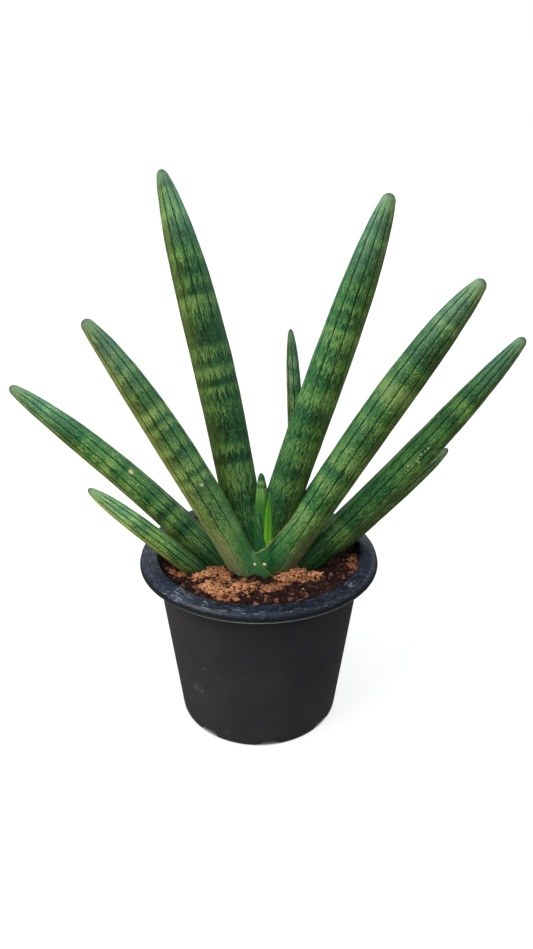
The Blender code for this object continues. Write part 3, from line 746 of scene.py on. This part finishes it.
# drops from the top of the pot, and radii, over which one finish gives way to the next; the edge entries
# place a painted highlight along the lip
rimLines = {
    "zone": (6.2 * mm, 6.0 * mm), "zoneRadius": (69.2 * mm, 69.8 * mm), "lip": (3.6 * mm, 1.4 * mm),
    "edge": 5.6 * mm, "lipHighlightWidth": 0.26 * mm, "lipHighlightRadius": (81.5 * mm, 81.9 * mm),
}
# lip is the colour of a painted highlight; the skirt colour is painted shade
potPlastic = {
    "body": (48, 48, 53), "bodyWarm": (57, 55, 56), "rim": (5, 8, 20), "rimLight": (38, 46, 72),
    "skirt": (16, 17, 24), "lip": (150, 152, 158), "dust": (168, 174, 182),
}
# pale rubbed marks: places on the body with their reach, then rim places with reach and strength; the last
# two rim places, at the front, are painted highlights
potMarks = {
    "body": ((-0.0415, -0.0459, 0.0406, 0.008), (-0.0224, -0.0537, 0.010, 0.004)),
    "rim": ((-0.0485, -0.058, 0.010, 0.8), (-0.076, -0.004, 0.005, 0.9), (0.060, -0.046, 0.007, 0.5),
            (-0.012, -0.0755, 0.004, 0.4), (-0.030, -0.070, 0.006, 0.4)),
}


def arc(centre, radius, start, stop, steps):
    turns = [math.radians(start + (stop - start) * i / steps) for i in range(steps + 1)]
    return [(centre[0] + radius * math.cos(t), centre[1] + radius * math.sin(t)) for t in turns]


def wallRadius(height):
    share = height / potHeight
    return potShape["baseRadius"] + (potShape["mouthRadius"] - potShape["baseRadius"]) * share


def potProfile():
    # the turned outline, from the middle of the floor up, over the rim and down to the foot
    g = potShape
    floorTop = g["footHeight"] + g["floor"]
    skirtFoot = potHeight - g["rimDrop"]
    skirtInside = rimRadius - g["wall"]
    ringInside = g["baseRadius"] - g["footRing"]
    inside = [floorTop + (potHeight - floorTop) * k / 12 for k in range(12)]
    points = [(radius, floorTop) for radius in reversed(g["floorRings"])]
    points += [(wallRadius(h) - g["wall"], h) for h in inside]
    inner = (wallRadius(potHeight) - g["wall"] + g["innerEdge"], potHeight - g["innerEdge"])
    points += arc(inner, g["innerEdge"], 180, 100, 6)
    curl = (rimRadius - g["lipStep"] - g["curl"], potHeight - g["curl"])
    points += arc(curl, g["curl"], 96, 0, 14)
    lip = skirtFoot + g["lipHeight"]
    points += [(rimRadius - g["lipStep"], lip + 0.3 * mm), (rimRadius - g["lipStep"] * 0.6, lip)]
    points += [(rimRadius - 0.1 * mm, lip - 0.3 * mm), (rimRadius, lip - 0.6 * mm)]
    points += [(rimRadius - 0.05 * mm, skirtFoot + 0.2 * mm), (rimRadius - 0.35 * mm, skirtFoot)]
    points += [(skirtInside + 0.3 * mm, skirtFoot), (skirtInside, skirtFoot + 0.3 * mm)]
    points += arc((skirtInside - 2 * mm, potHeight - g["curl"]), 2 * mm, 0, 88, 5)
    points += [(wallRadius(potHeight) + 0.6 * mm, potHeight - g["wall"] - 0.1 * mm)]
    wallTop = potHeight - g["wall"] - 0.8 * mm
    outside = [wallTop - (potHeight - 3.5 * mm) * (k / 40) for k in range(40)]
    points += [(wallRadius(h), h) for h in outside]
    points += arc((g["baseRadius"] - g["baseEdge"], g["baseEdge"]), g["baseEdge"], 0, -90, 5)
    points += [(ringInside + 0.4 * mm, 0.0), (ringInside, 0.4 * mm), (ringInside, g["footHeight"])]
    points += [(radius, g["footHeight"]) for radius in g["floorRings"]]
    return points


def notchLift(turn):
    # how high the foot ring is cut away at this heading
    pitch = 2 * math.pi / potShape["notches"]
    off = (turn - math.radians(potShape["firstNotch"]) + pitch / 2) % pitch - pitch / 2
    gap = abs(off) * potShape["baseRadius"]
    share = (potShape["notchFoot"] - gap) / (potShape["notchFoot"] - potShape["notchTop"])
    return potShape["footHeight"] * min(1.0, max(0.0, share))


def potShell():
    pitch = 2 * math.pi / potShape["notches"]
    turns = {round(2 * math.pi * k / potShape["steps"], 5) for k in range(potShape["steps"])}
    bends = (potShape["notchTop"] - 0.1 * mm, potShape["notchTop"],
             potShape["notchFoot"], potShape["notchFoot"] + 0.1 * mm)
    for notch in range(potShape["notches"]):
        middle = math.radians(potShape["firstNotch"]) + notch * pitch
        for bend in bends:
            for side in (-1, 1):
                heading = middle + side * bend / potShape["baseRadius"]
                turns.add(round(heading % (2 * math.pi), 5))
    turns = sorted(turns)
    shape = bmesh.new()
    rings = []
    for radius, height in potProfile():
        if radius == 0:
            rings.append([shape.verts.new((0, 0, height))])
            continue
        ring = []
        for turn in turns:
            lifted = height
            if height < potShape["footHeight"] and radius > potShape["notchFrom"]:
                lifted = max(height, notchLift(turn))
            if radius > potShape["warpFrom"] and height > potHeight - potShape["warpHeight"]:
                place = Vector((math.cos(turn) * 1.3, math.sin(turn) * 1.3, 0.4))
                lifted += noise.noise(place) * potShape["warp"]
            ring.append(shape.verts.new((radius * math.cos(turn), radius * math.sin(turn), lifted)))
        rings.append(ring)
    joinRings(shape, rings, len(turns))
    bmesh.ops.remove_doubles(shape, verts=shape.verts, dist=0.000005)
    return addObject("potShell", smoothMesh(shape, "potShell"))


def drainDrill():
    # one peg for each drain hole, and one in the middle
    shape = bmesh.new()
    for k in range(potShape["notches"] + 1):
        heading = math.radians(potShape["firstNotch"]) + k * 2 * math.pi / potShape["notches"]
        reach = potShape["drainRing"] if k < potShape["notches"] else 0.0
        foot = (reach * math.cos(heading), reach * math.sin(heading), potShape["drillHeight"])
        bmesh.ops.create_cone(shape, segments=32, radius1=potShape["drain"], radius2=potShape["drain"],
                              depth=potShape["drillLength"], cap_ends=True,
                              matrix=Matrix.Translation(foot))
    return addObject("drill", smoothMesh(shape, "drill"))


def makePot():
    shell = potShell()
    cutter = drainDrill()
    boolean = shell.modifiers.new("holes", "BOOLEAN")
    boolean.operation = "DIFFERENCE"
    boolean.object = cutter
    drilled = evaluatedMesh(shell)
    shell.modifiers.remove(boolean)
    bpy.data.objects.remove(cutter)
    shell.data = drilled
    drilled.materials.clear()
    drilled.materials.append(potSkin())
    drilled.shade_smooth()
    drilled.set_sharp_from_angle(angle=math.radians(potShape["sharpAngle"]))
    return shell


def potSkin():
    material, tree, point = startSkin("potPlastic")
    shades = potPlastic
    x, y, height = point.parts()
    turn = y.maths("ARCTAN2", x)
    radius = (x * x + y * y).maths("SQRT")
    front = (y * -1).step(0.035, 0.075)
    aboveLip = height.step(*[potHeight - drop for drop in rimLines["lip"]])
    rimZone = height.step(*[potHeight - drop for drop in rimLines["zone"]])
    rimZone = rimZone * radius.step(*rimLines["zoneRadius"])
    cloud = grain(point, 28.0, 3.0)
    speck = grain(point, 900.0, 2.0, 0.6)
    mottle = grain(point, 340.0, 4.0, 0.7)
    drag = grain(combine(tree, turn * 14, radius * 900, height * 900), 1.0, 4.0, 0.65)
    scuff = grain(combine(tree, turn * 9, height * 160), 1.0, 4.0, 0.65, 0.6)

    # the body: cloudy grey, scuffed round it, with dust specks and pale rubbed places
    body = blend(tree, cloud.step(0.35, 0.7), paint(*shades["body"]), paint(*shades["bodyWarm"]))
    rubbed = scuff.step(0.68, 0.78) * 0.28
    for markX, markY, markZ, reach in potMarks["body"]:
        near = 1 - point.vector("DISTANCE", (markX, markY, markZ)).step(0.0, reach)
        rubbed = rubbed + near * speck.step(0.55, 0.66) * 0.45
    body = body.tinted(rubbed, shades["dust"])
    specks = speck.step(0.72, 0.78)
    body = body.tinted(specks * 0.16, shades["dust"])

    # the rim: darker and dustier, with painted highlights at the front, painted shade on the dull skirt
    # under the lip and a painted highlight along the lip's edge
    rim = blend(tree, (mottle * 0.7 + cloud * 0.3).step(0.4, 0.66), paint(*shades["rim"]),
                paint(*shades["rimLight"]))
    # dust streaks and specks on the rim, with painted highlight streaks added along its front
    dustAndHighlights = drag.step(0.58, 0.74) * 0.4 + specks * 0.5 * cloud.step(0.42, 0.6)
    dustAndHighlights = dustAndHighlights + mottle.step(0.62, 0.7) * 0.22
    # painted highlight streaks along the front of the rim
    dustAndHighlights = dustAndHighlights + front * drag.step(0.6, 0.7) * 0.22
    for markX, markY, reach, strength in potMarks["rim"]:
        near = 1 - point.vector("DISTANCE", (markX, markY, potHeight)).step(0.0, reach)
        dustAndHighlights = dustAndHighlights + near * strength * drag.step(0.5, 0.62)
    rim = rim.tinted(dustAndHighlights.atMost(0.85), shades["dust"])
    # painted shade: the sideways-facing skirt under the lip is darkened
    rim = rim.tinted(1 - aboveLip, shades["skirt"])
    # a painted highlight: a thin pale line along the lip's edge
    fromEdge = (height - (potHeight - rimLines["edge"])) / rimLines["lipHighlightWidth"]
    edge = (1 - fromEdge.maths("ABSOLUTE").step(0.3, 1.0)) * radius.step(*rimLines["lipHighlightRadius"])
    rim = rim.tinted(edge * 0.75, shades["lip"])
    colour = blend(tree, rimZone, body, rim)
    rough = 0.62 + (scuff - 0.5) * 0.2 - rimZone * aboveLip * 0.27
    rough = rough + dustAndHighlights.atMost(1.0) * rimZone * 0.25
    bumps = speck * 0.4 + drag * rimZone * 0.8 + cloud * 0.6
    return finishSkin(material, colour, rough, bumps, 0.0002, 0.28)


pot = makePot()
finishPiece(pot, "pot_plastic", "pot")
print("pot turned,", len(pot.data.polygons), "faces")


soilShape = {
    "moundHeight": 2.0 * mm, "moundRadius": 40 * mm, "rings": 110, "steps": 300,
    "lumps": 1.3 * mm, "grit": 0.7 * mm, "crust": 1.1 * mm, "pits": 2.6 * mm,
    "wallGap": 0.25 * mm, "edgeBand": 3 * mm, "sideHeights": (0.1, 0.05),
}
# crusted patches: x, y, half length, half width, turn in degrees
crusts = (
    (-27, -22, 13, 7, -60), (-54, -23, 8, 3.2, -35), (-22, -47, 11, 7, -30), (-10, -38, 10, 7.5, 5),
    (10, -39, 9, 4.5, 25), (24, -24, 13, 8, 25), (35, -27, 5, 6, 0), (67, -6, 4.5, 13, -8),
    (-8, 42, 9, 7, -35), (30, 44, 7, 5, 20),
)
coir = {
    "deep": (22, 9, 6), "dark": (33, 15, 13), "middle": (56, 29, 24), "light": (118, 80, 70),
    "paleDark": (84, 40, 24), "paleDeep": (126, 76, 50), "pale": (168, 110, 76),
    "paleLight": (198, 146, 108),
}


def soilHeight(x, y):
    reach = math.hypot(x, y)
    if reach >= soilShape["moundRadius"]:
        return soilLevel
    swell = 1 + math.cos(math.pi * reach / soilShape["moundRadius"])
    return soilLevel + soilShape["moundHeight"] * swell / 2


def grainPlace(x, y, turns, shift):
    # where a noise is read, for a noise with this many turns a metre
    return Vector((x * turns, y * turns, shift))


def crustShare(x, y):
    # 1 inside a crusted patch, 0 away from it, with a ragged edge
    ragged = noise.noise(grainPlace(x, y, 260, 3.1)) * 0.55
    ragged += noise.noise(grainPlace(x, y, 700, 8.3)) * 0.4
    best = 0.0
    for centreX, centreY, halfLength, halfWidth, turn in crusts:
        angle = math.radians(turn)
        dx = x / mm - centreX
        dy = y / mm - centreY
        along = (dx * math.cos(angle) + dy * math.sin(angle)) / halfLength
        across = (dy * math.cos(angle) - dx * math.sin(angle)) / halfWidth
        best = max(best, 1.25 - math.hypot(along, across) + ragged)
    return min(1.0, max(0.0, best * 2.2))


def makeSoil():
    wallGap = potShape["wall"] + soilShape["wallGap"]
    outer = wallRadius(soilLevel) - wallGap
    turns = [2 * math.pi * k / soilShape["steps"] for k in range(soilShape["steps"])]
    shape = bmesh.new()
    tones = []
    rings = []
    for ring in range(soilShape["rings"] + 1):
        reach = outer * ring / soilShape["rings"]
        row = []
        for turn in turns if ring else turns[:1]:
            x = reach * math.cos(turn)
            y = reach * math.sin(turn)
            crust = crustShare(x, y)
            lumps = noise.fractal(grainPlace(x, y, 110, 0.5), 1.0, 2.0, 3)
            grit = noise.fractal(grainPlace(x, y, 420, 2.5), 1.0, 2.2, 3)
            pits = min(0.0, noise.noise(grainPlace(x, y, 520, 6.5)) + 0.32)
            rise = soilShape["lumps"] * lumps + soilShape["grit"] * grit * (1 - 0.5 * crust)
            rise += crust * (soilShape["crust"] + pits * soilShape["pits"])
            rise *= min(1.0, (outer - reach) / soilShape["edgeBand"] + 0.35)
            row.append(shape.verts.new((x, y, soilHeight(x, y) + rise)))
            tones.append(crust * (1 + pits * 3.0))
        rings.append(row)
    base = potShape["footHeight"] + potShape["floor"] + 0.3 * mm
    for height in (*soilShape["sideHeights"], base):
        reach = wallRadius(height) - wallGap
        rings.append([shape.verts.new((reach * math.cos(t), reach * math.sin(t), height)) for t in turns])
    rings.append([shape.verts.new((0, 0, base))])
    tones += [0.0] * (len(shape.verts) - len(tones))
    joinRings(shape, rings, soilShape["steps"])
    mesh = smoothMesh(shape, "soilBed")
    mesh.attributes.new("crust", "FLOAT", "POINT").data.foreach_set("value", tones)
    return addObject("soilBed", mesh)


def soilSkin():
    material, tree, point = startSkin("coirSoil")
    grit = grain(point, 700.0, 4.0, 0.65)
    lumps = grain(point, 210.0, 3.0, 0.6)
    fibre = grain(point.vector("MULTIPLY", (1500.0, 380.0, 600.0)), 1.0, 3.0, 0.6, 1.5)
    crust = readAttribute(tree, "crust")
    dirt = (grit * 0.55 + fibre * 0.45).ramp([
        (0.36, coir["deep"]), (0.5, coir["dark"]), (0.6, coir["middle"]), (0.72, coir["light"])])
    pale = (grit * 0.6 + lumps * 0.4).ramp([
        (0.34, coir["paleDark"]), (0.46, coir["paleDeep"]), (0.55, coir["pale"]), (0.7, coir["paleLight"])])
    colour = blend(tree, (crust + (grit - 0.5) * 0.9).step(0.35, 0.6), dirt, pale)
    bumps = grit * 0.7 + fibre * 0.5 + lumps * 0.5
    return finishSkin(material, colour, 0.86 + 0.1 * grit, bumps, 0.0012, 0.15)


def crumbSkin(name, stops):
    material, tree, point = startSkin(name)
    grit = grain(point, 900.0, 3.0)
    colour = (readAttribute(tree, "tone") * 0.75 + grit * 0.5 - 0.12).ramp(stops)
    return finishSkin(material, colour, 0.84 + 0.1 * grit, grit, 0.0004, 0.15)


def crumbTree():
    # crumbs strewn over the bed where its crust share is near the wanted one
    numbers = ("Density", "Small", "Large", "Flatness", "Stretch", "Crust Wanted", "Reach", "Sink", "Seed")
    tree, start, end, given = groupTree("strewCrumbs", numbers)

    def chance(low, high, seed):
        made = addNode(tree, "FunctionNodeRandomValue", {"Seed": seed}, data_type="FLOAT")
        slots = [s for s in made.inputs if s.enabled and s.name in ("Min", "Max")]
        feed(tree, slots[0], low)
        feed(tree, slots[1], high)
        return Field(tree, [s for s in made.outputs if s.enabled][0])

    place = Field(tree, addNode(tree, "GeometryNodeInputPosition").outputs[0])
    x, y, z = place.parts()
    named = addNode(tree, "GeometryNodeInputNamedAttribute", {"Name": "crust"}, data_type="FLOAT")
    fromWanted = (Field(tree, named.outputs[0]) - given["Crust Wanted"]).maths("ABSOLUTE")
    inside = 1 - (x * x + y * y).maths("SQRT").step(given["Reach"] - 1 * mm, given["Reach"])
    inside = inside * z.step(soilLevel - 6 * mm, soilLevel - 4 * mm)
    spread = addNode(tree, "GeometryNodeDistributePointsOnFaces", {
        "Density": given["Density"] * (1 - fromWanted.step(0.2, 0.75)) * inside, "Seed": given["Seed"]})

    # each crumb is a dented ball, sunk a little, tilted, stretched and flattened
    stone = addNode(tree, "GeometryNodeMeshIcoSphere", {"Radius": 1.0, "Subdivisions": 2})
    dents = grain(place, 1.6, 2.0) * 1.5 + 0.3
    dented = addNode(tree, "GeometryNodeSetPosition", {"Position": place.vector("SCALE", dents)})
    sink = combine(tree, 0.0, 0.0, given["Sink"] * -1)
    sunk = addNode(tree, "GeometryNodeSetPosition", {"Offset": sink})
    size = chance(0.0, 1.0, 3) ** 2.2 * (given["Large"] - given["Small"]) + given["Small"]
    full = chance(0.0, 2 * math.pi, 11)
    long = size * given["Stretch"] * chance(0.7, 1.3, 14)
    spots = addNode(tree, "GeometryNodeInstanceOnPoints", {
        "Rotation": combine(tree, chance(-0.6, 0.6, 12), chance(-0.6, 0.6, 13), full),
        "Scale": combine(tree, long, size, size * given["Flatness"])})
    chain(tree, stone, dented)
    tree.links.new(dented.outputs[0], spots.inputs["Instance"])
    chain(tree, start, spread, sunk, spots)
    toned = storeAttribute(tree, spots, "tone", chance(0.0, 1.0, 21), "FLOAT", "INSTANCE")
    closeTree(tree, start, end, toned)
    return tree


darkStops = ((0.1, (22, 10, 9)), (0.45, (44, 22, 18)), (0.75, (80, 46, 38)), (1.0, (150, 108, 92)))
paleStops = ((0.1, (86, 46, 30)), (0.35, (132, 80, 52)), (0.65, (172, 112, 76)), (0.95, (208, 158, 118)))
strewn = {
    "soilCrumbs": {
        "stops": darkStops, "seed": 4,
        "values": {"Density": 150000.0, "Small": 0.35 * mm, "Large": 1.9 * mm, "Flatness": 0.6,
                   "Stretch": 1.5, "Crust Wanted": 0.0, "Sink": 0.1 * mm},
    },
    "soilFibres": {
        "stops": darkStops, "seed": 9,
        "values": {"Density": 60000.0, "Small": 0.12 * mm, "Large": 0.3 * mm, "Flatness": 0.8,
                   "Stretch": 11.0, "Crust Wanted": 0.1, "Sink": -0.3 * mm},
    },
    "crustCrumbs": {
        "stops": paleStops, "seed": 14,
        "values": {"Density": 110000.0, "Small": 0.25 * mm, "Large": 0.9 * mm, "Flatness": 0.45,
                   "Stretch": 1.5, "Crust Wanted": 0.9, "Sink": 0.15 * mm},
    },
    "strayCrumbs": {
        "stops": paleStops, "seed": 19,
        "values": {"Density": 9000.0, "Small": 0.25 * mm, "Large": 0.9 * mm, "Flatness": 0.6,
                   "Stretch": 1.5, "Crust Wanted": 0.2, "Sink": 0.0},
    },
}

bed = makeSoil()
bed.data.materials.append(soilSkin())
finishPiece(bed, "coir_soil", "soil")
print("soil laid,", len(bed.data.polygons), "faces")
strew = crumbTree()
for name, layer in strewn.items():
    field = addObject(name, bed.data.copy())
    values = dict(layer["values"], Seed=layer["seed"], Reach=wallRadius(soilLevel) - 3.2 * mm,
                  Material=crumbSkin(name + "Skin", layer["stops"]))
    field.data = runTree(field, strew, values)
    field.data.shade_smooth()
    finishPiece(field, "coir_soil")
    print("strewed", name, len(field.data.polygons), "faces")


# clods of dried coir, placed in millimetres
clods = {
    "clod_by_crown": {"centre": (22.5, -24.5), "half": (10.5, 6.5), "height": 5.0, "turn": 28},
    "clod_crown_right": {"centre": (38.5, -26), "half": (5.5, 4.5), "height": 3.4, "turn": 20},
    "clod_left": {"centre": (-36.5, -24), "half": (9, 6.5), "height": 3.2, "turn": 40},
    "clod_front_left": {"centre": (-29.5, -41.5), "half": (9.5, 6.5), "height": 3.6, "turn": -20},
    "clod_front": {"centre": (-11.5, -42.5), "half": (8.5, 5.5), "height": 3.4, "turn": 5},
    "clod_back": {"centre": (-4.5, 42.5), "half": (8, 6), "height": 3.6, "turn": -35},
}
clodShape = {"ragged": 0.42, "pitDepth": 1.5 * mm, "roughness": 0.5 * mm, "underside": -0.5}


def clodSkin():
    material, tree, point = startSkin("driedCoir")
    grit = grain(point, 800.0, 4.0, 0.65)
    lumps = grain(point, 300.0, 3.0, 0.6)
    tone = grit * 0.55 + lumps * 0.45 - readAttribute(tree, "pit") * 0.5
    colour = tone.ramp([
        (0.2, (34, 15, 12)), (0.4, (112, 62, 42)), (0.5, (180, 121, 86)), (0.68, (218, 166, 126))])
    return finishSkin(material, colour, 0.86 + 0.1 * grit, grit, 0.0006, 0.15)


def makeClod(name, clod, seed, skin):
    shape = bmesh.new()
    bmesh.ops.create_icosphere(shape, subdivisions=6, radius=1.0)
    turn = math.radians(clod["turn"])
    centreX, centreY = clod["centre"]
    pits = []
    for vertex in shape.verts:
        p = vertex.co.copy()
        ragged = noise.fractal(Vector((p.x * 2.6 + seed, p.y * 2.6, p.z * 1.5)), 0.9, 2.1, 5)
        along = p.x * clod["half"][0] * (1 + clodShape["ragged"] * ragged)
        across = p.y * clod["half"][1] * (1 + clodShape["ragged"] * ragged)
        x = (centreX + along * math.cos(turn) - across * math.sin(turn)) * mm
        y = (centreY + along * math.sin(turn) + across * math.cos(turn)) * mm
        hollow = noise.noise(grainPlace(x, y, 620, seed))
        pit = min(1.0, max(0.0, -hollow - 0.29) * 5)
        top = (1 - (1 - abs(p.z)) ** 2.4) * (1 if p.z > 0 else clodShape["underside"])
        rough = noise.fractal(grainPlace(x, y, 380, p.z * 3 + seed), 0.9, 2.1, 4)
        height = top * clod["height"] * mm * (0.72 + 0.3 * ragged) + rough * clodShape["roughness"]
        height -= pit * clodShape["pitDepth"] * max(0.0, p.z)
        vertex.co = (x, y, soilHeight(x, y) + height)
        pits.append(pit)
    mesh = smoothMesh(shape, name + "_lump")
    mesh.attributes.new("pit", "FLOAT", "POINT").data.foreach_set("value", pits)
    mesh.materials.append(skin)
    return addObject(name + "_lump", mesh)


clodLook = clodSkin()
for order, (name, clod) in enumerate(clods.items()):
    finishPiece(makeClod(name, clod, 2.7 * order + 1, clodLook), "coir_lump", name)
print("clods laid")


def barkSkin():
    material, tree, point = startSkin("stockBark")
    rings = grain(point.vector("MULTIPLY", (500.0, 500.0, 120.0)), 1.0, 3.0)
    colour = rings.ramp([(0.35, (120, 74, 40)), (0.55, (176, 124, 74)), (0.75, (208, 164, 112))])
    return finishSkin(material, colour, 0.7 + 0.2 * rings, rings, 0.0005)


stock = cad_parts["rootstock"]
stock.data.materials.clear()
stock.data.materials.append(barkSkin())
print("rootstock coated")


studio = {
    "domePower": 1.5, "floorReach": 6.0, "floorGlow": 0.76, "underPotShadowEdge": (0.0555, 0.0577),
    "dome": ((0.0, (0.04, 0.04, 0.03)), (0.46, (0.16, 0.15, 0.14)), (0.56, (0.34, 0.35, 0.34)),
             (0.8, (0.62, 0.68, 0.70)), (1.0, (0.9, 1.0, 1.04))),
    "sun": {"energy": 2.2, "softness": 40, "colour": (1.0, 0.97, 0.86), "towards": (0.8, 0.45, -0.75)},
    "camera": {"place": (0.005, -0.4657, 0.3842), "tilt": 23.59, "roll": 0.23, "focal": 28.83},
}


def floorSkin():
    # pale and matt, glowing evenly as a bright floor everywhere but under the pot, where the glow is cut
    # away as a painted shadow
    material, tree, point = startSkin("paleFloor")
    shader = tree.nodes["Principled BSDF"]
    x, y, unused = point.parts()
    colour = blend(tree, grain(point, 3.0), (0.27, 0.268, 0.266, 1), (0.29, 0.288, 0.286, 1))
    # painted shadow: no glow under the pot and just past its foot
    glowAroundShadow = (x * x + y * y).maths("SQRT").step(*studio["underPotShadowEdge"]) * studio["floorGlow"]
    feed(tree, shader.inputs["Base Color"], colour)
    feed(tree, shader.inputs["Emission Strength"], glowAroundShadow)
    shader.inputs["Emission Color"].default_value = (1.0, 0.99, 0.985, 1.0)
    shader.inputs["Roughness"].default_value = 0.9
    shader.inputs["Specular IOR Level"].default_value = 0.0
    return material


def setFloor():
    mesh = bpy.data.meshes.new("floor")
    reach = studio["floorReach"]
    corners = [(-reach, -reach, 0), (reach, -reach, 0), (reach, reach, 0), (-reach, reach, 0)]
    mesh.from_pydata(corners, [], [(0, 1, 2, 3)])
    mesh.materials.append(floorSkin())
    floor = addObject("floor", mesh)
    floor.visible_diffuse = False
    floor.visible_glossy = False


def setSky():
    world = bpy.data.worlds.new("studio")
    bpy.context.scene.world = world
    world.use_nodes = True
    sky = world.node_tree
    way = Field(sky, addNode(sky, "ShaderNodeTexCoord").outputs["Generated"]).parts()[2]
    dome = (way * 0.5 + 0.5).ramp([(share, (*shade, 1)) for share, shade in studio["dome"]])
    dome = blend(sky, 1.0, dome, (studio["domePower"],) * 3 + (1,), "MULTIPLY")
    seen = Field(sky, addNode(sky, "ShaderNodeLightPath").outputs["Is Camera Ray"])
    shown = blend(sky, seen, dome, (1.0, 1.0, 1.0, 1.0))
    feed(sky, sky.nodes["Background"].inputs["Color"], shown)


def setSun():
    sun = studio["sun"]
    light = bpy.data.lights.new("key", "SUN")
    light.energy = sun["energy"]
    light.angle = math.radians(sun["softness"])
    light.color = sun["colour"]
    source = addObject("key", light)
    source.rotation_euler = Vector(sun["towards"]).to_track_quat("-Z", "Y").to_euler()


def setCamera():
    look = studio["camera"]
    data = bpy.data.cameras.new("camera")
    data.lens = look["focal"]
    data.sensor_width = 36.0
    camera = addObject("camera", data)
    turn = Matrix.Rotation(math.radians(90 - look["tilt"]), 4, "X")
    roll = Matrix.Rotation(math.radians(look["roll"]), 4, "Z")
    camera.matrix_world = Matrix.Translation(look["place"]) @ turn @ roll
    bpy.context.scene.camera = camera


setFloor()
setSky()
setSun()
setCamera()
bpy.context.scene.view_settings.view_transform = "Standard"
print("stage set")
